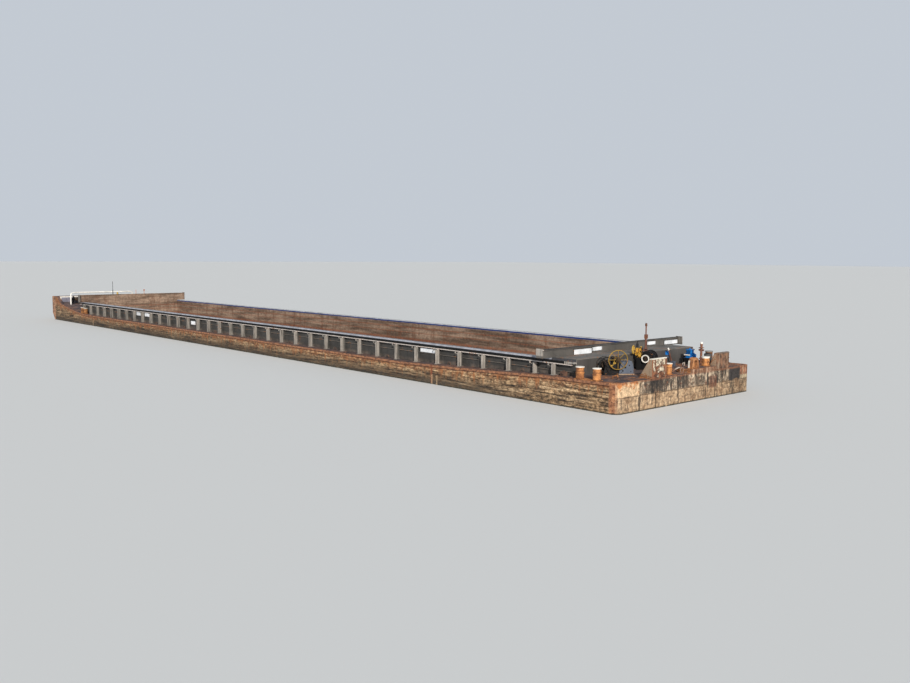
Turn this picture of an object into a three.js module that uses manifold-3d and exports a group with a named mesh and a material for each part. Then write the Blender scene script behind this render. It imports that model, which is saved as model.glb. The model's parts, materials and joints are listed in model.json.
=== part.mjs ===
// River push barge with an open hold, half size.
// Lengths below are the real barge's metres: x forward from the transom, y to port, z up from the flat
// bottom. The whole barge is then scaled to half size in millimetres and centred over its bottom.

import * as THREE from 'three';
import { mergeVertices } from 'three/addons/utils/BufferGeometryUtils.js';
import Module from 'manifold-3d';

const wasm = await Module();
wasm.setup();

// Scale of the model
const MODEL_SCALE = 0.5;
const MM_PER_METRE = 1000;

// Gap kept between pieces that touch, and the radial play of a shaft or pin in its bore
const SEAM = 0.0006;
const PIN_PLAY = 0.0016;

// Hull
const LENGTH = 76.5;
const HALF_BEAM = 5.7;
const GUARD_REACH = 0.04;
const GUARD_HEIGHT = 0.12;
const PLATING = HALF_BEAM - GUARD_REACH;
const SIDE_DECK = 4.0;
const HOLD_HALF = 4.8;
const HOLD_AFT = 4.6;
const HOLD_FORE = 68.0;
const FLOOR_TOP = 0.6;
const BILGE_RADIUS = 0.4;
const STERN_CORNER = 0.36;
const BOW_CORNER = 0.25;
const HEAD_AFT = 75.3;
const HEAD_TOP = 5.5;
const STEM_KNUCKLE = 4.75;
const STEM_LEAN = 0.05;
const WEDGE_FOOT = 73.5;
const WEDGE_HEAD = 74.9;
const WEDGE_END = 75.4;
const WEDGE_INNER = 5.36;
const ABOVE_ALL = 7.0;

// Depth below the side deck from which whatever stands on it starts, before it is cut back to the deck
const ROOT = 3.9;

// Deck height along the length, columns: x, height
const SHEER = [
  [0, 4.42],
  [HOLD_AFT, 4.34],
  [10.3, 4.13],
  [15.4, SIDE_DECK],
  [66.0, SIDE_DECK],
  [HOLD_FORE, 4.12],
  [69.9, 4.29],
  [73.1, 4.72],
  [HEAD_AFT, 4.98],
  [LENGTH, 5.12],
];

// Underside of the stern and of the raked bow, columns: x, height
const STERN_RAKE = [
  [0, 1.0],
  [0.9, 0.45],
  [2.2, 0.1],
  [3.2, 0],
];
const BOW_RAKE = [
  [68.8, 0],
  [71.0, 0.35],
  [73.0, 1.05],
  [74.6, 2.05],
  [75.7, 3.1],
  [LENGTH, 3.95],
];

// Low sill on the transom's edge between the fairlead and the starboard knee
const SILL = { fore: 0.8, port: -0.12, starboard: -2.33, top: 4.59 };

// Side coamings: wall, half-round bead along the top, lip under it and stays down to the deck
const COAMING_TOP = 5.15;
const COAMING_WALL = 0.08;
const BEAD_OUTER = 5.06;
const BEAD_HEIGHT = 0.125;
const LIP_TOP = 4.925;
const LIP_THICK = 0.045;
const LIP_REACH = 0.2;
const STAY_AFT = 4.235;
const STAY_FIRST = 5.45;
const STAY_PITCH = 1.842;
const STAY_COUNT = 35;
const STAY_THICK = 0.07;
const STAY_REACH = 0.36;
const STAY_CORNER = 0.12;

// Raised trunks at the hold's ends and the high end panels
const TRUNK_TOP = 5.18;
const TRUNK_AFT = 3.1;
const TRUNK_FORE = 69.5;
const TRUNK_FORE_TOP = 5.35;
const PANEL_THICK = 0.08;
const PANEL_HALF = 5.68;
const PANEL_AFT_TOP = 5.57;
const PANEL_FORE_TOP = 5.9;
const PANEL_POST = 0.07;
const PANEL_RETURN = 0.4;
const PANEL_HORN = 0.03;
const PANEL_RIM = 0.06;
const PANEL_LIP_AFT = 0.05;
const PANEL_LIP_FORE = 0.04;
const PANEL_DEPTH = PANEL_LIP_AFT + PANEL_THICK + PANEL_LIP_FORE;
const PANEL_AFT = HOLD_AFT - PANEL_DEPTH;
const PANEL_FORE = HOLD_FORE;

// Push knees on the transom, columns: name, port edge, starboard edge, top, reach of the foot
const KNEES = [
  ['push_knee_port', 3.08, 1.92, 5.35, 0.68],
  ['push_knee_starboard', -2.35, -3.53, 5.25, 0.4],
];
const KNEE_FACE = 0.08;
const KNEE_SIDE = 0.07;
const KNEE_INSET = 0.03;
const KNEE_STRIP = 0.1;
const KNEE_NOSE = 0.12;
const KNEE_HEEL = 0.06;
const KNEE_CROWN = 0.05;

// Bollards, columns: name, radius, height, list of places
const BOLLARD_CAP = 0.02;
const BOLLARD_CAP_HEIGHT = 0.05;
const BOLLARD_RIB = 0.02;
const BOLLARD_PLATE = 0.025;
const BOLLARD_GROUPS = [
  ['bollards_stern_port', 0.19, 0.58, [[1.33, 5.42], [2.33, 5.42]]],
  ['bollards_stern_starboard', 0.19, 0.58, [[1.33, -5.42], [2.33, -5.42]]],
  ['bollard_stern_centre', 0.14, 0.55, [[0.42, 1.1]]],
  ['bollard_stern_knee', 0.19, 0.47, [[0.42, -2.05]]],
  ['bollards_bow_port', 0.19, 0.58, [[66.75, 5.45], [67.6, 5.45]]],
  ['bollards_bow_starboard', 0.19, 0.58, [[66.75, -5.45], [67.6, -5.45]]],
];

// Solids from closed outlines and simple forms

function solidOf(geometry) {
  const bare = geometry.index ? geometry : geometry.clone();
  bare.deleteAttribute('normal');
  bare.deleteAttribute('uv');
  const merged = mergeVertices(bare, 1e-5);
  return new wasm.Manifold(new wasm.Mesh({
    numProp: 3,
    vertProperties: new Float32Array(merged.attributes.position.array),
    triVerts: new Uint32Array(merged.index.array),
  }));
}

function geometryOf(solid) {
  const mesh = solid.getMesh();
  const geometry = new THREE.BufferGeometry();
  geometry.setAttribute('position', new THREE.BufferAttribute(new Float32Array(mesh.vertProperties), 3));
  geometry.setIndex(new THREE.BufferAttribute(new Uint32Array(mesh.triVerts), 1));
  geometry.computeVertexNormals();
  return geometry;
}

function join(...solids) {
  return solids.flat().reduce((whole, piece) => whole.add(piece));
}

function box([x0, x1], [y0, y1], [z0, z1]) {
  const geometry = new THREE.BoxGeometry(Math.abs(x1 - x0), Math.abs(y1 - y0), Math.abs(z1 - z0));
  geometry.translate((x0 + x1) / 2, (y0 + y1) / 2, (z0 + z1) / 2);
  return solidOf(geometry);
}

function outline(points) {
  return new THREE.Shape(points.map(([a, b]) => new THREE.Vector2(a, b)));
}

// A prism of an outline in the plan, from z0 up to z1
function prismZ(points, z0, z1) {
  const geometry = new THREE.ExtrudeGeometry(outline(points), { depth: z1 - z0, bevelEnabled: false });
  geometry.translate(0, 0, z0);
  return solidOf(geometry);
}

// A prism of a side outline (x, z), from y0 to y1
function prismY(points, y0, y1) {
  const geometry = new THREE.ExtrudeGeometry(outline(points), { depth: y1 - y0, bevelEnabled: false });
  geometry.rotateX(Math.PI / 2);
  geometry.translate(0, y1, 0);
  return solidOf(geometry);
}

// A prism of a cross outline (y, z), from x0 to x1
function prismX(points, x0, x1) {
  const geometry = new THREE.ExtrudeGeometry(outline(points), { depth: x1 - x0, bevelEnabled: false });
  geometry.rotateX(Math.PI / 2);
  geometry.rotateZ(Math.PI / 2);
  geometry.translate(x0, 0, 0);
  return solidOf(geometry);
}

// A round bar between two points
function rod(from, to, radius, sides = 12, endRadius = radius) {
  const a = new THREE.Vector3(...from);
  const b = new THREE.Vector3(...to);
  const length = a.distanceTo(b);
  const geometry = new THREE.CylinderGeometry(endRadius, radius, length, sides);
  geometry.translate(0, length / 2, 0);
  const along = b.clone().sub(a).normalize();
  const turn = new THREE.Quaternion().setFromUnitVectors(new THREE.Vector3(0, 1, 0), along);
  geometry.applyQuaternion(turn);
  geometry.translate(a.x, a.y, a.z);
  return solidOf(geometry);
}

// A ring about the x axis
function ringX([x, y, z], radius, tube, segments = 32, sides = 6) {
  const geometry = new THREE.TorusGeometry(radius, tube, sides, segments);
  geometry.rotateY(Math.PI / 2);
  geometry.translate(x, y, z);
  return solidOf(geometry);
}

// A bent pipe through points, with its corners rounded
function pipe(points, radius, corner, sides = 8) {
  const path = new THREE.CurvePath();
  const corners = points.map((p) => new THREE.Vector3(...p));
  let start = corners[0];
  for (let i = 1; i < corners.length - 1; i++) {
    const back = corners[i - 1].clone().sub(corners[i]).setLength(corner).add(corners[i]);
    const on = corners[i + 1].clone().sub(corners[i]).setLength(corner).add(corners[i]);
    path.add(new THREE.LineCurve3(start, back));
    path.add(new THREE.QuadraticBezierCurve3(back, corners[i], on));
    start = on;
  }
  path.add(new THREE.LineCurve3(start, corners[corners.length - 1]));
  const ring = [];
  for (let i = 0; i < sides; i++) {
    const angle = (i / sides) * Math.PI * 2;
    ring.push([Math.cos(angle) * radius, Math.sin(angle) * radius]);
  }
  const steps = Math.max(12, points.length * 8);
  return solidOf(new THREE.ExtrudeGeometry(outline(ring), { steps, extrudePath: path, bevelEnabled: false }));
}

// Points along an arc from one angle to another
function arc(cx, cy, radius, from, to, steps = 5) {
  const points = [];
  for (let i = 0; i <= steps; i++) {
    const angle = THREE.MathUtils.degToRad(from + ((to - from) * i) / steps);
    points.push([cx + radius * Math.cos(angle), cy + radius * Math.sin(angle)]);
  }
  return points;
}

// Height of the deck at a place along the length
function deckAt(x) {
  for (let i = 1; i < SHEER.length; i++) {
    const [x0, z0] = SHEER[i - 1];
    const [x1, z1] = SHEER[i];
    if (x <= x1) {
      return z0 + ((z1 - z0) * (x - x0)) / (x1 - x0);
    }
  }
  return SHEER[SHEER.length - 1][1];
}

// Height of what a fitting stands on: the sill or the deck
function floorAt(x, y) {
  const onSill = x < SILL.fore && y < SILL.port && y > SILL.starboard;
  return onSill ? SILL.top : deckAt(x);
}

// The space under the deck and the sill, which everything that stands on them is cut back from
function underDeck(clearance) {
  const top = SHEER.map(([x, z]) => [x, z + clearance]).reverse();
  const points = [[-1, 0], [LENGTH + 1, 0], [LENGTH + 1, top[0][1]], ...top, [-1, top[top.length - 1][1]]];
  const sill = box(
    [-1, SILL.fore + clearance],
    [SILL.starboard - clearance, SILL.port + clearance],
    [0, SILL.top + clearance],
  );
  return prismY(points, -HALF_BEAM - 1, HALF_BEAM + 1).add(sill);
}
const BELOW_DECK = underDeck(SEAM);

function standOnDeck(solid) {
  return solid.subtract(BELOW_DECK);
}

// The side view of a stretch of hull: its underside, its ends and the deck above
function sideView(x0, x1, underside) {
  const deck = SHEER.filter(([x]) => x > x0 && x < x1);
  return [...underside, [x1, deckAt(x1)], ...deck.reverse(), [x0, deckAt(x0)]];
}

function bilgeSection(inner) {
  return [
    [inner, 0],
    ...arc(PLATING - BILGE_RADIUS, BILGE_RADIUS, BILGE_RADIUS, -90, 0),
    [PLATING, ABOVE_ALL],
    [inner, ABOVE_ALL],
  ];
}

function hullSection() {
  const right = arc(PLATING - BILGE_RADIUS, BILGE_RADIUS, BILGE_RADIUS, -90, 0);
  const left = arc(-PLATING + BILGE_RADIUS, BILGE_RADIUS, BILGE_RADIUS, 180, 270);
  return [...right, [PLATING, ABOVE_ALL], [-PLATING, ABOVE_ALL], ...left];
}

// The rubbing bar along the deck edge on the port side, and its mirror image on the starboard side
function guard(x0, x1) {
  const deck = SHEER.filter(([x]) => x > x0 && x < x1);
  const top = [[x0, deckAt(x0)], ...deck, [x1, deckAt(x1)]];
  const band = [...top.map(([x, z]) => [x, z - GUARD_HEIGHT]), ...top.reverse()];
  return prismY(band, PLATING - GUARD_REACH, HALF_BEAM);
}

// Hull

function hullSide(side) {
  const x0 = HOLD_AFT + SEAM;
  const x1 = HOLD_FORE - SEAM;
  const section = bilgeSection(HOLD_HALF + SEAM);
  const profile = sideView(x0, x1, [[x0, 0], [x1, 0]]);
  const wall = prismX(section, x0, x1).intersect(prismY(profile, HOLD_HALF, HALF_BEAM));
  const whole = wall.add(guard(x0, x1));
  return side > 0 ? whole : whole.mirror([0, 1, 0]);
}

function hullStern() {
  const r = STERN_CORNER;
  const plan = [
    [HOLD_AFT, PLATING],
    ...arc(r, PLATING - r, r, 90, 180),
    ...arc(r, -PLATING + r, r, 180, 270),
    [HOLD_AFT, -PLATING],
  ];
  const profile = sideView(0, HOLD_AFT, [...STERN_RAKE, [HOLD_AFT, 0]]);
  const block = prismX(hullSection(), 0, HOLD_AFT)
    .intersect(prismY(profile, -HALF_BEAM, HALF_BEAM))
    .intersect(prismZ(plan, 0, ABOVE_ALL));
  const sill = box([0, SILL.fore], [SILL.starboard, SILL.port], [SIDE_DECK, SILL.top]);
  const bar = guard(r, HOLD_AFT);
  return join(block, sill, bar, bar.mirror([0, 1, 0]));
}

function hullBow() {
  const r = BOW_CORNER;
  const plan = [
    [HOLD_FORE, -PLATING],
    ...arc(LENGTH - r, -PLATING + r, r, -90, 0, 3),
    ...arc(LENGTH - r, PLATING - r, r, 0, 90, 3),
    [HOLD_FORE, PLATING],
  ];
  const deck = SHEER.filter(([x]) => x > HOLD_FORE && x <= HEAD_AFT).reverse();
  const profile = [
    [HOLD_FORE, 0],
    ...BOW_RAKE,
    [LENGTH, STEM_KNUCKLE],
    [LENGTH - STEM_LEAN, HEAD_TOP],
    [HEAD_AFT, HEAD_TOP],
    ...deck,
    [HOLD_FORE, deckAt(HOLD_FORE)],
  ];
  const block = prismX(hullSection(), HOLD_FORE, LENGTH)
    .intersect(prismY(profile, -HALF_BEAM, HALF_BEAM))
    .intersect(prismZ(plan, 0, ABOVE_ALL));
  const bar = guard(HOLD_FORE, HEAD_AFT);
  const rise = [
    [WEDGE_FOOT, SIDE_DECK],
    [WEDGE_END, SIDE_DECK],
    [WEDGE_END, HEAD_TOP],
    [WEDGE_HEAD, HEAD_TOP],
    [WEDGE_FOOT, deckAt(WEDGE_FOOT)],
  ];
  const wedge = prismY(rise, WEDGE_INNER, PLATING);
  return join(block, bar, bar.mirror([0, 1, 0]), wedge, wedge.mirror([0, 1, 0]));
}

// Coaming on one side, from the aft trunk to the fore one

function coaming(side) {
  const inner = HOLD_HALF + SEAM;
  const outer = inner + COAMING_WALL;
  const along = [TRUNK_AFT, TRUNK_FORE];
  const low = COAMING_TOP - BEAD_HEIGHT;
  const round = BEAD_HEIGHT / 2;
  const nose = arc(BEAD_OUTER - round, low + round, round, -90, 90, 6);
  const bead = [[inner, low], ...nose, [inner, COAMING_TOP]];
  const pieces = [
    box(along, [inner, outer], [ROOT, low + round]),
    prismX(bead, ...along),
    box(along, [inner, outer + LIP_REACH], [LIP_TOP - LIP_THICK, LIP_TOP]),
  ];
  const stay = [
    [inner + COAMING_WALL / 2, ROOT],
    [outer + STAY_REACH, ROOT],
    [outer + STAY_REACH, LIP_TOP - STAY_CORNER],
    [outer + LIP_REACH, LIP_TOP - LIP_THICK / 2],
    [inner + COAMING_WALL / 2, LIP_TOP - LIP_THICK / 2],
  ];
  const places = [STAY_AFT];
  for (let i = 0; i < STAY_COUNT; i++) {
    places.push(STAY_FIRST + i * STAY_PITCH);
  }
  for (const x of places) {
    pieces.push(prismX(stay, x - STAY_THICK / 2, x + STAY_THICK / 2));
  }
  const whole = standOnDeck(join(pieces));
  return side > 0 ? whole : whole.mirror([0, 1, 0]);
}

// Trunks and end panels across the hold's ends

function trunk(x0, x1, top) {
  return standOnDeck(box([x0, x1], [-HOLD_HALF, HOLD_HALF], [ROOT, top]));
}

// Panel across a hold's end. Its wings reach over the coamings to a post at each end: the port one stands on
// the hold's side of the panel and the starboard one on the side away from the hold.
function endPanel(x, top, away) {
  const thick = [x + PANEL_LIP_AFT, x + PANEL_LIP_AFT + PANEL_THICK];
  const wing = COAMING_TOP + SEAM;
  const posts = [-1, 1].map((side) => {
    const y = side * PANEL_HALF;
    const toward = -side * away;
    const start = toward > 0 ? x + PANEL_LIP_AFT : x + PANEL_DEPTH;
    return box([start, start + toward * PANEL_RETURN], [y - side * PANEL_POST, y], [wing, top + PANEL_HORN]);
  });
  return standOnDeck(join(
    box(thick, [-HOLD_HALF, HOLD_HALF], [ROOT, top]),
    box(thick, [-PANEL_HALF, PANEL_HALF], [wing, top]),
    box([x, x + PANEL_DEPTH], [-PANEL_HALF, PANEL_HALF], [top - PANEL_RIM, top]),
    posts,
  ));
}

// Push knee: a face plate between edge strips on the transom line, two side plates and a top plate
function pushKnee(portEdge, starboardEdge, top, reach) {
  const side = [
    [KNEE_INSET, ROOT],
    [reach, ROOT],
    [reach, deckAt(reach) + KNEE_HEEL],
    [KNEE_NOSE, top],
    [KNEE_INSET, top],
  ];
  return standOnDeck(join(
    box([KNEE_INSET, KNEE_INSET + KNEE_FACE], [starboardEdge, portEdge], [ROOT, top]),
    box([0, KNEE_FACE], [starboardEdge, starboardEdge + KNEE_STRIP], [ROOT, top]),
    box([0, KNEE_FACE], [portEdge - KNEE_STRIP, portEdge], [ROOT, top]),
    box([0, KNEE_NOSE], [starboardEdge, portEdge], [top - KNEE_CROWN, top]),
    prismY(side, starboardEdge, starboardEdge + KNEE_SIDE),
    prismY(side, portEdge - KNEE_SIDE, portEdge),
  ));
}

// Bollards with a rib and a cap; two that belong together stand on one thin doubler plate
function bollards(radius, height, places) {
  const xs = places.map(([x]) => x);
  const y = places[0][1];
  const x0 = Math.min(...xs) - radius;
  const x1 = Math.max(...xs) + radius;
  const low = ROOT;
  const plate = [
    [x0, low],
    [x1, low],
    [x1, floorAt(x1, y) + BOLLARD_PLATE],
    [x0, floorAt(x0, y) + BOLLARD_PLATE],
  ];
  const pieces = [prismY(plate, y - radius, y + radius)];
  for (const [x] of places) {
    const floor = floorAt(x, y);
    const top = floor + height;
    const middle = floor + height / 2;
    pieces.push(rod([x, y, low], [x, y, top], radius, 24));
    pieces.push(rod([x, y, middle - BOLLARD_RIB], [x, y, middle + BOLLARD_RIB], radius + BOLLARD_RIB, 24));
    pieces.push(rod([x, y, top - BOLLARD_CAP_HEIGHT], [x, y, top], radius + BOLLARD_CAP, 24));
  }
  return standOnDeck(join(pieces));
}

// Closed fairlead on the sill: a round-topped block with a tall oval hole. half is half its breadth, hole the
// radius of the hole's ends, whose centres lie lift above and drop below that from the block's shoulder.
const FAIRLEAD = {
  x: 0.17,
  y: -0.6,
  half: 0.29,
  height: 0.56,
  thick: 0.24,
  hole: 0.11,
  drop: 0.1,
  lift: 0.03,
};

function fairlead() {
  const { x, y, half, hole, drop, lift, height, thick } = FAIRLEAD;
  const shoulder = floorAt(x, y) + height - half;
  const outer = [[y + half, ROOT], ...arc(y, shoulder, half, 0, 180, 12), [y - half, ROOT]];
  const middle = shoulder + lift;
  const inner = [...arc(y, middle, hole, 0, 180, 8), ...arc(y, middle - drop, hole, 180, 360, 8)];
  const block = prismX(outer, x - thick / 2, x + thick / 2);
  return standOnDeck(block.subtract(prismX(inner, x - thick, x + thick)));
}

// Mooring eye beside it: a hoop on a low pad
const EYE = { x: 0.3, y: 0.2, span: 0.24, rise: 0.26, bar: 0.03, pad: 0.04 };

function mooringEye() {
  const { x, y, span, rise, bar, pad } = EYE;
  const deck = deckAt(x);
  const base = box([x - span / 2, x + span / 2], [y - span * 1.2, y + span * 1.3], [ROOT, deck + pad]);
  const hoop = [
    [x, y - span / 2, deck - bar],
    [x, y - span / 2, deck + rise],
    [x, y + span / 2, deck + rise],
    [x, y + span / 2, deck - bar],
  ];
  return standOnDeck(join(base, pipe(hoop, bar, span * 0.4)));
}

// Winches. In a winch's own frame the drum lies along x, y is across it and z is up from its bed, and pairs
// of numbers are a low and a high end. SUNK is where the beds start, before they are cut back to the deck.
const BED = 0.06;
const SUNK = -0.2;
const CHEEK = 0.05;
const DRUM_SHAFT = 0.055;
const WHEEL_SHAFT = 0.035;

// Bore through the cheeks for a shaft along x
const shaftBore = (y, z, radius, to = 1) => rod([-1, y, z], [to, y, z], radius + PIN_PLAY, 24);

// A rod along x between two ends
const shaft = ([from, to], y, z, radius, sides) => rod([from, y, z], [to, y, z], radius, sides);

// Port winch: drum and gear wheel beside a gear case, and the large spoked handwheel that turns them
const PORT_WINCH = {
  place: [2.36, 2.81],
  turn: 145,
  bed: { x: [-0.42, 0.44], portEdge: 0.86 },
  frame: { from: [-0.4, 0.3], edge: 0.11, toe: 0.12, shoulder: 0.28, waist: 0.36, post: 0.06, crown: 0.07 },
  bearing: { rise: 0.09, half: 0.1, foot: 0.16, heel: 0.2 },
  drum: { y: -0.44, z: 0.475, from: -0.3, to: 0.22, core: 0.15, shaft: [-0.39, 0.34] },
  disc: { radius: 0.37, rim: 0.022, spokes: 3, seats: [0, 0.42] },
  gear: { radius: 0.39, rim: 0.045, spokes: 3, x: [0.18, 0.24] },
  wheel: { y: 0, z: 0.75, x: 0.55, radius: 0.46, tube: 0.02, spokes: 8 },
  pinion: { radius: 0.117, x: [0.17, 0.25] },
  gearCase: { x: [-0.2, 0.36], y: [0.13, 0.84], z: 0.66 },
};

// Side frame of the port winch: a low plate that carries the drum's bearing and a slim post for the handwheel
function portWinchBed() {
  const { bed, frame, bearing, drum, wheel } = PORT_WINCH;
  const { edge, toe, shoulder, waist, post, crown } = frame;
  const heel = drum.y - bearing.heel;
  const side = [
    [heel, 0],
    [edge, 0],
    [edge, shoulder],
    [wheel.y + post, waist],
    [wheel.y + post, wheel.z + crown],
    [wheel.y - post, wheel.z + crown],
    [wheel.y - post, waist],
    [drum.y + bearing.foot, shoulder],
    [drum.y + bearing.half, drum.z + bearing.rise],
    [drum.y - bearing.half, drum.z + bearing.rise],
    [drum.y - bearing.foot, shoulder],
    [heel, toe],
  ];
  return join(
    box(bed.x, [heel, bed.portEdge], [SUNK, BED]),
    frame.from.map((x) => prismX(side, x, x + CHEEK)),
  ).subtract(join(
    shaftBore(drum.y, drum.z, DRUM_SHAFT),
    shaftBore(wheel.y, wheel.z, WHEEL_SHAFT),
  ));
}

function portWinchGearCase() {
  const { x, y, z: top } = PORT_WINCH.gearCase;
  const [low, high] = y;
  const foot = BED + SEAM;
  const side = [
    [low, foot],
    [high - 0.02, foot],
    [high, top / 2],
    [high - 0.1, top],
    [low + 0.17, top],
    [low + 0.09, top - 0.08],
    [low, top - 0.3],
  ];
  return prismX(side, ...x);
}

// An open disc about the x axis: a rim of square section on thin round spokes
const SPOKE_START = 0.3;

function openDisc({ y, z, radius, rim, x, spokes }) {
  const [from, to] = x;
  const middle = (from + to) / 2;
  const thick = to - from;
  const hole = rod([from - thick, y, z], [to + thick, y, z], radius - rim, 32);
  const ring = rod([from, y, z], [to, y, z], radius, 36).subtract(hole);
  const reach = radius - rim / 2;
  const arms = [];
  for (let i = 0; i < spokes; i++) {
    const angle = (i / spokes) * Math.PI * 2 + SPOKE_START;
    const end = [middle, y + Math.cos(angle) * reach, z + Math.sin(angle) * reach];
    arms.push(rod([middle, y, z], end, thick / 2.4, 6));
  }
  return join(ring, arms);
}

function portWinchDrum() {
  const { drum, disc, gear } = PORT_WINCH;
  const { y, z, from, to, core } = drum;
  return join(
    shaft(drum.shaft, y, z, DRUM_SHAFT, 16),
    shaft([from, to], y, z, core, 20),
    disc.seats.map((seat) => openDisc({ y, z, ...disc, x: [from + seat, from + seat + disc.rim] })),
    openDisc({ y, z, ...gear }),
  );
}

const HUB_SHARE = 0.13;
const HUB_HALF = 0.06;

function handwheel({ y, z, x, radius, tube, spokes }, shaftFrom) {
  const pieces = [
    ringX([x, y, z], radius, tube, 36, 6),
    shaft([x - HUB_HALF, x + HUB_HALF], y, z, radius * HUB_SHARE, 16),
    shaft([shaftFrom, x], y, z, WHEEL_SHAFT, 12),
  ];
  for (let i = 0; i < spokes; i++) {
    const angle = (i / spokes) * Math.PI * 2;
    const end = [x, y + Math.cos(angle) * radius, z + Math.sin(angle) * radius];
    pieces.push(rod([x, y, z], end, tube * 0.8, 6));
  }
  return join(pieces);
}

function portWinchWheel() {
  const { wheel, pinion, drum } = PORT_WINCH;
  return join(
    handwheel(wheel, drum.shaft[0]),
    shaft(pinion.x, wheel.y, wheel.z, pinion.radius, 18),
  );
}

// Centre winch, turned to lead past the port knee, with a warping head at its port end. Its gear stands in a
// housing at that end, and the brake is worked by a small handwheel on the fore side of its gear case.
const CENTRE_WINCH = {
  place: [2.51, -0.2],
  turn: 110,
  bed: { x: [-0.46, 0.76], skids: [-0.42, 0.3], skid: 0.12, plate: 0.36, plateTop: 0.03 },
  cheek: { from: [-0.4, 0.49], foot: 0.4, shoulder: [0.3, 0.66], crown: [0.16, 0.76] },
  drum: { y: 0, z: 0.58, from: -0.3, to: 0.42, core: 0.15, flange: 0.37, plate: 0.04, shaft: [-0.39, 0.6] },
  flanges: [-0.3, 0.02, 0.26, 0.38],
  head: { hub: 0.12, hubX: [0.56, 0.72], radius: 0.2, rim: 0.05, x: [0.68, 0.73], spokes: 4 },
  gearCase: { x: [0.56, 0.7], y: [-0.5, -0.3], z: [0.9, 1.08] },
  gear: { y: -0.36, z: 0.84, radius: 0.2, x: [0.5, 0.64], post: { x: [0.49, 0.62], half: 0.12 } },
  gearHub: { y: -0.3, z: 0.78, radius: 0.11, x: [0.5, 0.74] },
  motor: { y: -0.27, z: 1.06, radius: 0.08, x: [0.5, 0.68] },
};
const BRAKE_WHEEL = { x: 0.62, z: 1.0, reach: 0.15, inside: 0.14, radius: 0.2, tube: 0.03, spokes: 5 };

function centreWinchBed() {
  const { bed, cheek, drum, gearCase, gear, gearHub, motor } = CENTRE_WINCH;
  const right = [[cheek.foot, 0], cheek.shoulder, cheek.crown];
  const left = right.map(([y, z]) => [-y, z]).reverse();
  const side = [...right, ...left];
  const [face, back] = gearCase.y;
  const spindle = [[BRAKE_WHEEL.x, face - 0.1, BRAKE_WHEEL.z], [BRAKE_WHEEL.x, back, BRAKE_WHEEL.z]];
  const bores = join(
    shaftBore(drum.y, drum.z, DRUM_SHAFT, gear.post.x[1] + 0.08),
    rod(...spindle, WHEEL_SHAFT + PIN_PLAY, 24),
  );
  return join(
    bed.skids.map((y) => box(bed.x, [y, y + bed.skid], [SUNK, BED])),
    box(bed.x, [-bed.plate, bed.plate], [SUNK, bed.plateTop]),
    cheek.from.map((x) => prismX(side, x, x + CHEEK)),
    box(gear.post.x, [gear.y - gear.post.half, gear.y + gear.post.half], [SUNK, gear.z]),
    [gear, gearHub, motor].map((part) => shaft(part.x, part.y, part.z, part.radius, 24)),
    box(gearCase.x, gearCase.y, gearCase.z),
  ).subtract(bores);
}

function centreWinchDrum() {
  const { drum, flanges, head } = CENTRE_WINCH;
  const { y, z, from, to, core, flange, plate } = drum;
  return join(
    shaft(drum.shaft, y, z, DRUM_SHAFT, 16),
    shaft([from, to], y, z, core, 20),
    flanges.map((x) => shaft([x, x + plate], y, z, flange, 32)),
    shaft(head.hubX, y, z, head.hub, 20),
    openDisc({ y, z, ...head }),
  );
}

function brakeWheel() {
  const { reach, inside, radius, tube, spokes } = BRAKE_WHEEL;
  return handwheel({ y: 0, z: 0, x: reach, radius, tube, spokes }, -inside);
}

// Bow winches, one on each side of the fore deck
const BOW_WINCH = {
  place: [73.8, 4.0],
  bed: { half: 0.43, breadth: 0.36, sunk: -0.3, top: 0.05 },
  cheek: { foot: 0.34, shoulder: 0.1, crown: [0.14, 0.56] },
  drum: { y: 0, z: 0.44, from: -0.3, to: 0.3, core: 0.13, flange: 0.32, plate: 0.03, shaft: [-0.42, 0.58] },
  head: { radius: 0.15, x: [0.46, 0.58] },
};

function bowWinchBed() {
  const { bed, cheek, drum } = BOW_WINCH;
  const right = [[cheek.foot, bed.sunk], [cheek.foot, cheek.shoulder], cheek.crown];
  const left = right.map(([y, z]) => [-y, z]).reverse();
  const side = [...right, ...left];
  return join(
    [-bed.half, bed.half - CHEEK].map((x) => prismX(side, x, x + CHEEK)),
    box([-bed.half, bed.half], [-bed.breadth, bed.breadth], [bed.sunk, bed.top]),
  ).subtract(shaftBore(drum.y, drum.z, DRUM_SHAFT));
}

function bowWinchDrum() {
  const { drum, head } = BOW_WINCH;
  const { y, z, from, to, core, flange, plate } = drum;
  return join(
    shaft(drum.shaft, y, z, DRUM_SHAFT, 16),
    shaft([from, to], y, z, core, 20),
    [from, to - plate].map((x) => shaft([x, x + plate], y, z, flange, 28)),
    shaft(head.x, y, z, head.radius, 20),
  );
}

// Folding signal mast on the aft trunk: a foot with a fork, and a top that turns on the fork's pin
const MAST = { x: 3.35, y: -1.04, hinge: 5.97, top: 6.5, lower: 0.05, upper: 0.035, pin: 0.02, base: 0.13 };
const FORK = { gap: 0.05, plate: 0.03, x: [-0.07, 0.05], drop: 0.16, rise: 0.06, saddle: 0.04 };
const KNUCKLE = { radius: 0.055, half: 0.035, lamp: 0.1 };

function mastFoot() {
  const { x, y, hinge, lower, pin, base } = MAST;
  const { gap, plate, drop, rise, saddle } = FORK;
  const foot = TRUNK_TOP + SEAM;
  const along = FORK.x.map((offset) => x + offset);
  const seat = hinge - drop + saddle;
  return join(
    rod([x, y, foot], [x, y, seat], lower, 12),
    box([x - base, x + base], [y - base, y + base], [foot, foot + plate]),
    box(along, [y - gap - plate, y - gap], [hinge - drop, hinge + rise]),
    box(along, [y + gap, y + gap + plate], [hinge - drop, hinge + rise]),
    box(along, [y - gap - plate, y + gap + plate], [hinge - drop, seat]),
    rod([x, y - gap * 2, hinge], [x, y + gap * 2, hinge], pin, 12),
  );
}

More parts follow.
